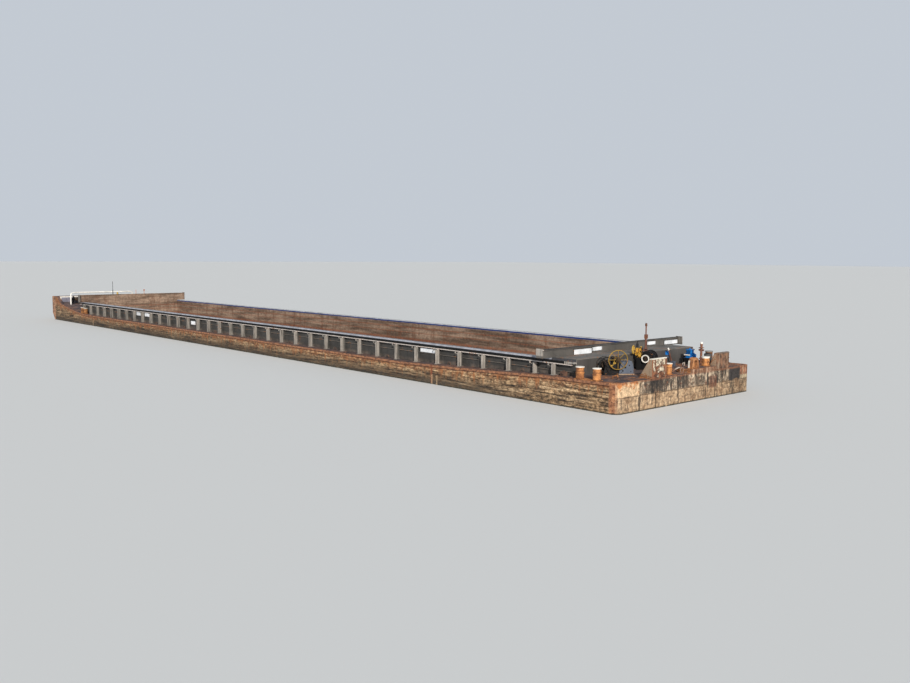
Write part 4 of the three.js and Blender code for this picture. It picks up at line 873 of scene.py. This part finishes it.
class Form:
    """One mesh of closed forms, in real metres, in a frame that may stand turned on the deck."""

    def __init__(self, place=None):
        self.place = place if place else Matrix.Identity(4)
        self.mesh = bmesh.new()

    def _ring(self, points):
        return [self.mesh.verts.new(model(*(self.place @ Vector(p)))) for p in points]

    def _skin(self, rings, closed=False):
        pairs = list(zip(rings, rings[1:]))
        if closed:
            pairs.append((rings[-1], rings[0]))
        for one, two in pairs:
            for i in range(len(one)):
                j = (i + 1) % len(one)
                self.mesh.faces.new((one[i], one[j], two[j], two[i]))
        if not closed:
            self.mesh.faces.new(rings[0])
            self.mesh.faces.new(rings[-1])

    def prism(self, outline, axis, low, high):
        """A prism of an outline across an axis, 0 to 2, from low to high."""
        ends = []
        for level in (low, high):
            points = [list(pair) for pair in outline]
            for point in points:
                point.insert(axis, level)
            ends.append(self._ring(points))
        self._skin(ends)

    def box(self, x, y, z):
        self.prism([(x[0], y[0]), (x[1], y[0]), (x[1], y[1]), (x[0], y[1])], 2, *z)

    def tube(self, path, radius, sides=8, closed=False):
        """A round bar along a path; radius is one number or one for each point."""
        points = [Vector(p) for p in path]
        count = len(points)
        radii = radius if isinstance(radius, list) else [radius] * count
        side = None
        rings = []
        for i, point in enumerate(points):
            after = points[(i + 1) % count] if closed or i + 1 < count else point
            before = points[i - 1] if closed or i else point
            ahead = (after - before).normalized()
            if side is None:
                side = ahead.orthogonal().normalized()
            side = (side - ahead * side.dot(ahead)).normalized()
            other = ahead.cross(side)
            turns = [2 * math.pi * k / sides for k in range(sides)]
            spokes = [side * math.cos(t) + other * math.sin(t) for t in turns]
            rings.append(self._ring([point + spoke * radii[i] for spoke in spokes]))
        self._skin(rings, closed)

    def rod(self, a, b, radius, sides=14, end=None):
        self.tube([a, b], [radius, radius if end is None else end], sides)

    def ring(self, centre, axis, radius, thick, steps=28, sides=6):
        """A ring about an axis, 0 to 2, through a centre."""
        path = []
        for i in range(steps):
            angle = 2 * math.pi * i / steps
            offset = [radius * math.cos(angle), radius * math.sin(angle)]
            offset.insert(axis, 0.0)
            path.append(Vector(centre) + Vector(offset))
        self.tube(path, thick, sides, closed=True)

    def bolt(self, place, axis, out, radius=0.022, high=0.016):
        """A hexagonal bolt head on a face across an axis, pointing out along it, 1 or -1."""
        start = Vector(place)
        end = start.copy()
        start[axis] -= out * 0.006
        end[axis] += out * high
        self.rod(start, end, radius, 6)

    def staple(self, a, b, reach, radius):
        """A bent bar that leaves a, runs alongside b at a reach and comes back to it."""
        a, b, reach = Vector(a), Vector(b), Vector(reach)
        self.tube([a, a + reach, b + reach, b], radius)

    def make(self, name, slot, body="root", bevel=0.0, paint=None):
        """Turn the forms into one piece, in its slot's paint where no other is given."""
        bmesh.ops.recalc_face_normals(self.mesh, faces=self.mesh.faces)
        mesh = bpy.data.meshes.new(name)
        self.mesh.to_mesh(mesh)
        self.mesh.free()
        mesh.shade_smooth()
        mesh.set_sharp_from_angle(angle=math.radians(38))
        mesh.materials.append(paint or SLOT_PAINTS[slot])
        piece = bpy.data.objects.new(name, mesh)
        bpy.context.scene.collection.objects.link(piece)
        if bevel:
            edge = piece.modifiers.new("edge", "BEVEL")
            edge.width = bevel * SCALE
            edge.segments = 2
            edge.limit_method = "ANGLE"
        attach(piece, body)


SIDES = {"port": 1, "starboard": -1}

# Boards and signs are blank plates. Boards on the side coaming, columns: x from, x to, z from, z to
SIDE_BOARDS = [(13.21, 14.48, 4.6, 4.82), (42.3, 42.86, 4.17, 4.33), (43.15, 43.91, 4.36, 4.64),
               (52.25, 53.25, 4.52, 4.84), (54.2, 55.1, 4.52, 4.84)]
# Boards on the aft end panel, columns: y from, y to, z from, z to
PANEL_BOARDS = [(3.35, 2.0, 5.16, 5.42), (1.92, 1.18, 5.27, 5.46), (-2.73, -3.45, 5.28, 5.46),
                (-4.31, -5.55, 5.21, 5.42)]


def stay_details(name, side):
    """Foot pads, face bars, gussets and small brackets of the stays, and the stringer along the wall."""
    form = Form()
    y = [side * value for value in (COAMING_OUTER - 0.02, COAMING_OUTER + 0.055, 5.21, 5.26)]
    for x in STAYS:
        deck = deck_at(x)
        form.box(around(x, 0.03), (y[2], y[3]), (deck, 4.872))
        form.box(around(x, 0.02), (side * 5.1, side * 5.23), (4.74, 4.872))
        form.box(around(x, 0.1), (side * 4.9, side * 5.27), (deck - 0.01, deck + 0.012))
        form.box((x + 0.27, x + 0.32), (side * 5.14, side * 5.2), (4.79, 4.875))
        arm = [(x + 0.295, side * 5.15, 4.8), (x + 0.19, side * 5.1, 4.74), (x + 0.03, side * 5.02, 4.7)]
        form.tube(arm, 0.012)
    form.make(f"coaming_stay_bars_{name}", "coaming_grey", bevel=0.006, paint=STAY_PAINT)
    stringer = Form()
    stringer.box((COAMING_AFT, 69.5), (y[0], y[1]), (4.535, 4.575))
    stringer.make(f"coaming_stringer_{name}", "coaming_grey", paint=STRINGER_PAINT)


# Outline of a lashing eye, columns: along, up
LASHING_EYE = [(-0.11, -0.01), (-0.11, 0.1), (-0.05, 0.15), (0.05, 0.15), (0.11, 0.1), (0.11, -0.01)]


def wall_details(name, side):
    """Rail-end bracket, a capped block beside it and the lashing eyes of a coaming."""
    bracket = Form()
    bracket.prism([(3.62, 5.12), (2.98, 5.03), (2.98, 4.97), (3.62, 4.93)], 1, side * 4.9, side * 5.05)
    bracket.make(f"coaming_end_{name}", "coaming_grey", paint=STAY_PAINT)
    form = Form()
    form.box((3.45, 3.73), (side * 5.0, side * 5.2), (4.34, 4.57))
    form.rod((3.59, side * 5.1, 4.56), (3.59, side * 5.1, 4.62), 0.05)
    for x0, x1 in zip(STAYS[1:-1:3], STAYS[2::3]):
        x = (x0 + x1) / 2
        deck = deck_at(x)
        form.tube([(x + dx, side * 5.05, deck + dz) for dx, dz in LASHING_EYE], 0.018)
    form.make(f"coaming_fittings_{name}", "rusty_steel", paint=DULL_RUST)


def boards():
    form = Form()
    frame_bars = Form()
    for x0, x1, z0, z1 in SIDE_BOARDS:
        form.box((x0, x1), (4.945, 4.965), (z0, z1))
        frame_bars.box((x0 - 0.03, x1 + 0.03), (4.87, 4.942), (z0 - 0.03, z1 + 0.03))
    for y0, y1, z0, z1 in PANEL_BOARDS:
        form.box((PANEL_AFT + 0.018, PANEL_AFT + 0.034), (y1, y0), (z0, z1))
        frame_bars.box((PANEL_AFT + 0.036, PANEL_AFT + 0.06), (y1 - 0.03, y0 + 0.03), (z0 - 0.02, z1 + 0.02))
        for y in (y0 - 0.05, y1 + 0.05):
            for z in (z0 + 0.04, z1 - 0.04):
                frame_bars.bolt((PANEL_AFT + 0.018, y, z), 0, -1, 0.014, 0.008)
    form.make("blank_boards", "white_paint", bevel=0.004, paint=BOARD_PAINT)
    frame_bars.make("board_backs", "machine_black")


def draught_marks():
    """Blank draught scales on both sides: an upright strip with level ticks."""
    form = Form()
    for side in SIDES.values():
        for x in (12.64, 12.22, 64.2):
            level = [side * (PLATING - 0.004), side * (PLATING + 0.006)]
            form.box(around(x, 0.02), level, (2.2, 3.55))
            for i in range(13):
                z = 2.25 + 0.1 * i
                form.box((x + 0.015, x + (0.06 if i % 2 else 0.09)), level, (z, z + 0.02))
    form.make("draught_scales", "white_paint", paint=TAN_PAINT)


def hull_seams():
    """Plate seams of the hull and its hold, raised a few millimetres, and the transom's patch plate."""
    form = Form()
    butts = [x for x in range(6, 68, 6)] + [12.67]
    for side in SIDES.values():
        skin = (side * (PLATING - 0.004), side * (PLATING + 0.005))
        for x in butts:
            form.box(around(x, 0.012), skin, (0.45, deck_at(x) - GUARD_HEIGHT - 0.01))
        form.box((1.2, 72.6), skin, (2.28, 2.3))
    for y, foot, head in TRANSOM_LINES:
        form.box((-0.006, 0.004), around(y, 0.02), (foot - 0.6, head))
    form.box((-0.006, 0.004), (-5.2, 5.2), (TRANSOM_SPLIT - 0.02, TRANSOM_SPLIT))
    form.box((-0.01, 0.004), (-2.42, -1.74), (3.57, 4.14))
    for side in SIDES.values():
        y = side * (HOLD_HALF + 0.006)
        for x in butts[:-1]:
            form.box(around(x, 0.015), (y - side * 0.012, y), (FLOOR_TOP, 4.86))
    form.make("hull_welds", "hull")


def deck_fittings():
    """Filler caps on both decks and along the side decks, and the decks' plate seams."""
    form = Form()
    caps = [(0.95, 4.35), (3.7, 5.45), (0.75, -1.4), (2.95, 5.35), (2.9, -5.3), (0.9, -5.2), (1.6, 0.75),
            (70.4, 3.9), (70.4, -3.9), (72.4, 0.8), (74.3, 2.6), (74.3, -2.6)]
    for x, y in caps:
        z = deck_at(x)
        form.rod((x, y, z - 0.02), (x, y, z + 0.03), 0.09, 18)
        form.rod((x, y, z + 0.03), (x, y, z + 0.055), 0.055, 6)
    for side in SIDES.values():
        for x in (8.2, 21.3, 34.4, 47.5, 60.5):
            z = deck_at(x)
            form.rod((x, side * 5.42, z - 0.02), (x, side * 5.42, z + 0.025), 0.11, 18)
            form.rod((x, side * 5.42, z + 0.025), (x, side * 5.42, z + 0.05), 0.05, 6)
    for x in (0.7, 2.0, 70.2, 71.9, 73.4):
        z = deck_at(x)
        form.box(around(x, 0.01), (-5.5, 5.5), (z - 0.02, z + 0.008))
    form.make("deck_fittings", "rusty_steel", paint=DULL_RUST)


def wire_turns(form, y, z, start, end, radius, layers, gauge=0.012):
    """Wire wound on a drum that lies along x."""
    for layer in range(layers):
        reach = radius + gauge * (1 + 1.75 * layer)
        count = int((end - start) / (gauge * 2.1)) - layer
        for i in range(count):
            x = start + gauge * (1 + layer) + i * gauge * 2.1
            form.ring((x, y, z), 0, reach, gauge, 26, 5)


def port_winch_details():
    place = deck_frame(*PORT_WINCH)
    drum_y, drum_z = PORT_DRUM
    wires = Form(place)
    wire_turns(wires, drum_y, drum_z, -0.26, 0.08, 0.15, 3)
    wires.make("port_winch_wire", "machine_black", "port_winch_drum", paint=WIRE_PAINT)

    black = Form(place)
    for x, face, out in ((-0.46, -0.46, -1), (0.352, 0.407, 1)):
        black.rod((x, drum_y, drum_z), (x + 0.055, drum_y, drum_z), 0.085, 20)
        black.rod((x, 0, PORT_WHEEL_AXIS), (x + 0.055, 0, PORT_WHEEL_AXIS), 0.055, 16)
        for dy, dz in circle(4, 0.066, math.pi / 4):
            black.bolt((face, drum_y + dy, drum_z + dz), 0, out, 0.012, 0.012)
    for y in ((-0.56, -0.5), (0.02, 0.08)):
        black.box((-0.35, 0.3), y, (0.1, 0.16))
    black.tube([(0.37, -0.4, 0.1), (0.38, -0.5, 0.3), (0.38, -0.6, 0.62), (0.38, -0.62, 0.8)], 0.014)
    black.prism([(-0.34, 0.26), (0.1, 0.26), (0.05, 0.62), (-0.06, 0.72), (-0.2, 0.66)], 0, 0.352, 0.37)
    black.tube([(0.38, -0.3, 0.2), (0.4, -0.22, 0.48), (0.4, -0.1, 0.64), (0.4, 0.02, 0.6)], 0.02)
    black.tube([(0.38, 0.1, 0.2), (0.41, 0.14, 0.44), (0.41, 0.06, 0.6), (0.4, -0.16, 0.74)], 0.018)
    black.make("port_winch_bearings", "machine_black")

    plugs = Form(place)
    for y, z, radius in ((0.42, 0.36, 0.042), (0.3, 0.2, 0.036), (0.62, 0.46, 0.034), (0.7, 0.16, 0.022),
                         (0.22, 0.3, 0.018), (0.24, 0.12, 0.018)):
        plugs.rod((0.35, y, z), (0.378, y, z), radius, 16)
    plugs.make("port_winch_plugs", "machine_black")

    case = Form(place)
    case.box((-0.21, 0.37), (0.12, 0.85), (BED_TOP + 0.002, BED_TOP + 0.03))
    case.box((-0.03, 0.19), (0.4, 0.62), (0.655, 0.69))
    case.rod((0.08, 0.51, 0.69), (0.08, 0.51, 0.74), 0.05, 16)
    for y in (0.18, 0.36, 0.55, 0.74):
        for x in (-0.17, 0.32):
            case.bolt((x, y, BED_TOP + 0.03), 2, 1)
    case.make("port_winch_case_trim", "blue_grey", bevel=0.006)

    feet = Form(place)
    for x in (-0.36, 0.39):
        for y in (-0.54, -0.2, 0.02):
            feet.bolt((x, y, BED_TOP), 2, 1, 0.026)
    feet.box((-0.3, 0.24), (-0.6, -0.585), (BED_TOP, 0.16))
    feet.make("port_winch_feet", "rusty_steel")

    crank = Form(place)
    crank.box((0.372, 0.42), (-0.19, -0.06), (0.54, 0.62))
    crank.tube([(0.4, -0.14, 0.58), (0.43, -0.16, 0.7), (0.43, -0.08, 0.8)], 0.022)
    crank.rod((0.372, -0.26, 0.46), (0.43, -0.26, 0.46), 0.045, 12)
    crank.make("port_winch_pawl", "yellow", bevel=0.005)

    wheel = Form(place)
    axis = PORT_WHEEL_AXIS
    wheel.rod((0.52, 0, axis), (0.63, 0, axis), 0.075, 20)
    wheel.rod((0.63, 0, axis), (0.65, 0, axis), 0.03, 6)
    wheel.ring((0.55, 0, axis), 0, 0.11, 0.018)
    wheel.rod((0.55, 0.3, axis + 0.29), (0.66, 0.3, axis + 0.29), 0.02)
    paint = NODE_PAINTS["port_winch_handwheel"]
    wheel.make("port_winch_wheel_hub", "yellow", "port_winch_handwheel", paint=paint)


def centre_winch_details():
    place = deck_frame(*CENTRE_WINCH)
    wires = Form(place)
    wire_turns(wires, 0.0, CENTRE_AXIS, -0.25, 0.02, 0.15, 4)
    wire_turns(wires, 0.0, CENTRE_AXIS, 0.07, 0.25, 0.15, 3)
    wires.make("centre_winch_wire", "machine_black", "centre_winch_drum", paint=WIRE_PAINT)

    black = Form(place)
    for x in (-0.44, 0.542):
        black.rod((x, 0, CENTRE_AXIS), (x + 0.04, 0, CENTRE_AXIS), 0.09, 20)
    for y in ((-0.4, -0.34), (0.34, 0.4)):
        black.box((-0.35, 0.49), y, (0.05, 0.12))
    for x in (-0.36, 0.5):
        for y in (-0.38, 0.38):
            black.tube([(x, y, 0.04), (x, 0, 0.5)], 0.022)
    black.tube([(0.52, -0.45, 0.45), (0.6, -0.52, 0.5), (0.62, -0.55, 0.66), (0.6, -0.5, 0.84)], 0.02)
    black.tube([(0.3, -0.44, 0.06), (0.42, -0.5, 0.3), (0.5, -0.49, 0.6)], 0.02)
    black.make("centre_winch_frame_bars", "machine_black")

    gold = Form(place)
    for dy, dz in circle(8, 0.165):
        gold.bolt((0.64, -0.36 + dy, 0.84 + dz), 0, 1, 0.016, 0.014)
    gold.ring((0.742, -0.3, 0.78), 0, 0.075, 0.016)
    gold.rod((0.6, -0.27, 1.12), (0.6, -0.27, 1.19), 0.035, 12)
    gold.box((0.55, 0.71), (-0.49, -0.32), (1.08, 1.1))
    gold.make("centre_winch_gear_trim", "yellow")

    head = Form(place)
    for k in range(3):
        head.ring((0.6 + 0.035 * k, 0, CENTRE_AXIS), 0, 0.125, 0.014)
    head.make("centre_winch_head_rope_ribs", "machine_black", "centre_winch_drum")


def bow_winch_details(name):
    place = deck_frame(*BOW_WINCHES[name])
    wires = Form(place)
    wire_turns(wires, 0.0, BOW_AXIS, -0.26, 0.26, 0.13, 3, 0.014)
    wires.make(f"bow_winch_{name}_wire", "machine_black", f"bow_winch_{name}_drum", paint=WIRE_PAINT)
    black = Form(place)
    for x in (-0.48, 0.432):
        black.rod((x, 0, BOW_AXIS), (x + 0.048, 0, BOW_AXIS), 0.085, 18)
    black.box((-0.38, 0.38), (-0.3, -0.24), (0.1, 0.16))
    black.tube([(-0.4, 0.26, 0.2), (-0.44, 0.32, 0.5), (-0.44, 0.42, 0.78)], 0.018)
    for x in (-0.39, 0.39):
        for y in (-0.3, 0.3):
            black.bolt((x, y, 0.05), 2, 1, 0.024)
    black.make(f"bow_winch_{name}_bearings", "machine_black")


def knee_details():
    """Ribs between the knees' side plates, with edge welds."""
    form = Form()
    for port, starboard, top, reach in ((3.08, 1.92, 5.35, 0.68), (-2.35, -3.53, 5.25, 0.4)):
        inner = (starboard + 0.07, port - 0.07)
        middle = (inner[0] + inner[1]) / 2
        deck = deck_at(0.3)
        form.box((0.1, 0.14), inner, (deck + 0.3, deck + 0.34))
        form.prism([(0.1, deck), (reach * 0.9, deck), (0.16, top - 0.06), (0.1, top - 0.06)], 1,
                   middle - 0.02, middle + 0.02)
        form.box((0.1, 0.13), inner, (deck + 0.6, deck + 0.63))
        for y in (port - 0.005, starboard + 0.005):
            form.box((0.0, reach + 0.06), around(y, 0.03), around(deck, 0.02))
    form.make("knee_ribs", "rusty_steel")


def fairlead_details():
    form = Form()
    for x in (0.05, 0.29):
        centre = FAIRLEAD_SEAT + 0.3
        path = [(x, -0.6 + dy, centre + dz - (0.0 if dz > 0 else 0.1)) for dy, dz in circle(28, 0.118)]
        form.tube(path, 0.018, 8, closed=True)
    form.box((0.03, 0.31), (-0.92, -0.28), (4.58, 4.612))
    form.make("fairlead_rims", "rusty_steel")


def bollard_details():
    """Weld rings round the bollards' feet."""
    form = Form()
    for x, y, radius in BOLLARDS:
        foot = FAIRLEAD_SEAT if (x < 0.8 and -2.33 < y < -0.12) else deck_at(x)
        form.ring((x, y, foot + 0.028), 2, radius + 0.008, 0.018, 30)
    form.make("bollard_welds", "rusty_steel")


def power_unit_details():
    """Ribs, lid and cap of the blue machine, its pipes, gauge and bar, and the switch box's upper plate."""
    place = deck_frame(2.3, -3.55)
    blue = Form(place)
    for k in range(6):
        blue.ring((-0.3 + 0.032 * k, 0, 0.46), 0, 0.112, 0.007)
    blue.box((-0.24, -0.17), (-0.05, 0.05), (0.555, 0.62))
    blue.rod((0.03, 0, 0.77), (0.03, 0, 0.84), 0.05, 16)
    blue.box((-0.15, 0.17), (-0.15, 0.15), (0.75, 0.79))
    blue.box((0.665, 0.685), (0.92, 1.08), (0.52, 0.68))
    blue.make("power_unit_trim", "blue", bevel=0.005)
    hoses = Form(place)
    for y, rise in ((-0.07, 0.0), (0.0, 0.03), (0.07, 0.06)):
        bends = ((0.24, 0.46), (0.34, 0.42 + rise), (0.4, 0.28), (0.42, 0.1), (0.4, 0.0))
        hoses.tube([(x, y, z) for x, z in bends], 0.018)
    for x in (-0.11, -0.02, 0.07):
        hoses.tube([(x, 0.13, 0.55), (x, 0.18, 0.57), (x, 0.19, 0.76)], 0.01)
    hoses.box((-0.34, 0.34), (-0.19, 0.19), (0.055, 0.082))
    hoses.make("power_unit_pipes", "machine_black")
    white = Form(place)
    white.box((-0.1, 0.25), (0.16, 0.2), (0.47, 0.53))
    white.box((-0.02, 0.02), (0.1, 0.17), (0.48, 0.52))
    white.rod((0.145, 0, 0.62), (0.162, 0, 0.62), 0.045, 18)
    white.make("power_unit_gauge_and_bar", "white_paint")


def small_fittings():
    """Valve wheel, a ring on the deck, white tips and edges, ventilator trim, mast collar and locker trim."""
    rusty = Form()
    deck = deck_at(1.25)
    rusty.ring((1.25, -2.95, deck + 0.98), 2, 0.13, 0.014)
    rusty.tube([(1.12, -2.95, deck + 0.98), (1.38, -2.95, deck + 0.98)], 0.012)
    rusty.box((1.18, 1.32), (-3.05, -2.85), (deck + 0.4, deck + 0.46))
    rusty.ring((0.3, 0.2, deck_at(0.3) + 0.045), 2, 0.15, 0.014)
    rusty.make("valve_wheel", "mast_brown")
    white = Form()
    white.rod((1.25, -2.95, deck + 1.18), (1.25, -2.95, deck + 1.28), 0.074, 16)
    low = deck_at(2.88)
    white.rod((2.825, -2.35, low + 0.79), (2.818, -2.29, low + 0.9), 0.045, 14)
    for y in ((5.22, 5.34), (-5.34, -5.22)):
        white.box((74.69, 74.83), y, (4.9, 5.5))
    white.box((74.7, 74.82), (-5.3, 5.3), (5.46, 5.505))
    white.make("white_tips", "white_paint", bevel=0.01)
    dark = Form()
    top = deck_at(1.95)
    dark.ring((1.95, -4.7, top + 0.3), 2, 0.197, 0.016)
    dark.rod((1.95, -4.7, top + 0.49), (1.95, -4.7, top + 0.53), 0.2, 24, 0.12)
    for dx, dy in circle(6, 0.15):
        dark.rod((1.95 + dx, -4.7 + dy, top + 0.12), (1.95 + dx, -4.7 + dy, top + 0.3), 0.012, 6)
    dark.rod((3.35, -1.04, TRUNK_TOP_AFT), (3.35, -1.04, 5.27), 0.085, 16)
    dark.make("ventilator_trim", "machine_black")
    locker = Form()
    low = deck_at(2.35)
    locker.box((2.25, 2.45), (-2.18, -1.98), (low + 0.235, low + 0.262))
    locker.box((2.245, 2.265), (-2.12, -2.04), (low + 0.12, low + 0.17))
    locker.box((2.965, 2.985), (-2.63, -2.47), (4.74, 4.88))
    locker.make("locker_trim", "blue_grey", bevel=0.006)


def mast_details():
    lamp = Form()
    x, y, top = MAST_TOP
    for k in range(4):
        lamp.ring((x, y, top - 0.03 + 0.035 * k), 2, 0.058, 0.006, 20)
    lamp.rod((x, y, top + 0.09), (x, y, top + 0.12), 0.05, 14, 0.02)
    lamp.make("mast_lamp_guard", "machine_black", "mast_top")
    foot = Form()
    for dx, dy in ((-0.09, -0.09), (-0.09, 0.09), (0.09, -0.09), (0.09, 0.09)):
        foot.bolt((x + dx, y + dy, TRUNK_TOP_AFT), 2, 1, 0.018)
    for dx, dy in ((0.11, 0.0), (-0.11, 0.0), (0.0, 0.11), (0.0, -0.11)):
        foot.tube([(x + dx, y + dy, TRUNK_TOP_AFT), (x + dx * 0.4, y + dy * 0.4, 5.4)], 0.01)
    foot.make("mast_foot_bolts", "mast_brown")


def hatch_details(name, x, y):
    """Dogs and foot weld of a hatch, and the handle and cross ribs of its lid."""
    place = deck_frame(x, y)
    dogs = Form(place)
    for side in (-1, 1):
        for at in (-0.2, 0.15):
            dogs.rod((at, side * 0.37, HATCH_TOP - 0.06), (at, side * 0.42, HATCH_TOP - 0.06), 0.02, 10)
            dogs.box(around(at, 0.02), (side * 0.39, side * 0.42), (HATCH_TOP - 0.08, HATCH_TOP + 0.02))
    dogs.box((-0.37, 0.35), (-0.37, 0.37), (-0.02, 0.02))
    dogs.make(f"{name}_dogs", "rusty_steel")
    lid = Form(place)
    foot = HATCH_TOP + 0.045
    lid.staple((-0.25, -0.1, foot), (-0.25, 0.1, foot), (0, 0, 0.055), 0.014)
    lid.box((-0.3, 0.3), (-0.02, 0.02), (foot, HATCH_TOP + 0.07))
    lid.box((-0.02, 0.02), (-0.3, 0.3), (foot, HATCH_TOP + 0.07))
    lid.make(f"{name}_lid_handle", "coaming_grey", f"{name}_lid")


def bow_details():
    """Lamp and markers on the fore trunk, its ladder, the hold's two ladders and the bow plate's brackets."""
    yellow = Form()
    yellow.rod((69.16, 1.29, TRUNK_TOP_FORE), (69.16, 1.29, 5.86), 0.022, 10)
    yellow.rod((69.16, 1.29, 5.86), (69.16, 1.29, 6.06), 0.1, 18, 0.07)
    yellow.make("bow_lamp", "yellow", bevel=0.01)
    marker = Form()
    marker.rod((68.96, -0.62, TRUNK_TOP_FORE), (68.96, -0.62, 6.3), 0.028, 12)
    marker.rod((68.65, -1.38, TRUNK_TOP_FORE), (68.65, -1.38, 6.32), 0.028, 12)
    marker.box((68.63, 68.67), (-1.45, -1.31), (6.16, 6.34))
    marker.make("bow_markers", "white_paint", paint=MARKER_PAINT)
    rungs = Form()
    for k in range(4):
        z = deck_at(69.55) + 0.2 + 0.28 * k
        rungs.staple((69.5, 2.9, z), (69.5, 3.3, z), (0.1, 0, 0), 0.014)
    for k in range(13):
        z = FLOOR_TOP + 0.3 + 0.3 * k
        rungs.staple((67.99, 3.9, z), (67.99, 4.3, z), (-0.11, 0, 0), 0.016)
        rungs.staple((4.61, -3.9, z), (4.61, -4.3, z), (0.11, 0, 0), 0.016)
    for y in (-4.6, -3.0, -1.4, 0.4, 2.2, 4.6):
        rungs.prism([(74.82, 4.93), (75.28, 4.97), (74.82, 5.4)], 1, y - 0.02, y + 0.02)
    rungs.make("ladder_rungs", "rusty_steel")


def deck_bar():
    """Bar and two hooks on the aft deck."""
    form = Form()
    form.staple((1.22, 4.4, 4.42), (1.3, 3.92, 4.42), (0, 0, 0.11), 0.025)
    form.make("deck_bar", "rusty_steel")
    hook = Form()
    hook.staple((1.15, -1.15, 4.42), (1.28, -1.5, 4.42), (0, 0, 0.3), 0.025)
    hook.tube([(0.75, 0.3, 4.45), (0.62, 0.22, 4.6), (0.55, 0.05, 4.66), (0.6, -0.1, 4.6)], 0.03)
    hook.make("deck_hooks", "rusty_steel", paint=HOOK_PAINT)


def make_details():
    for name, side in SIDES.items():
        stay_details(name, side)
        wall_details(name, side)
        bow_winch_details(name)
    boards()
    draught_marks()
    hull_seams()
    deck_fittings()
    port_winch_details()
    centre_winch_details()
    knee_details()
    fairlead_details()
    bollard_details()
    power_unit_details()
    small_fittings()
    mast_details()
    for name, x, y in HATCHES:
        hatch_details(name, x, y)
    bow_details()
    deck_bar()


make_camera()
make_studio()
paint_nodes()
make_details()
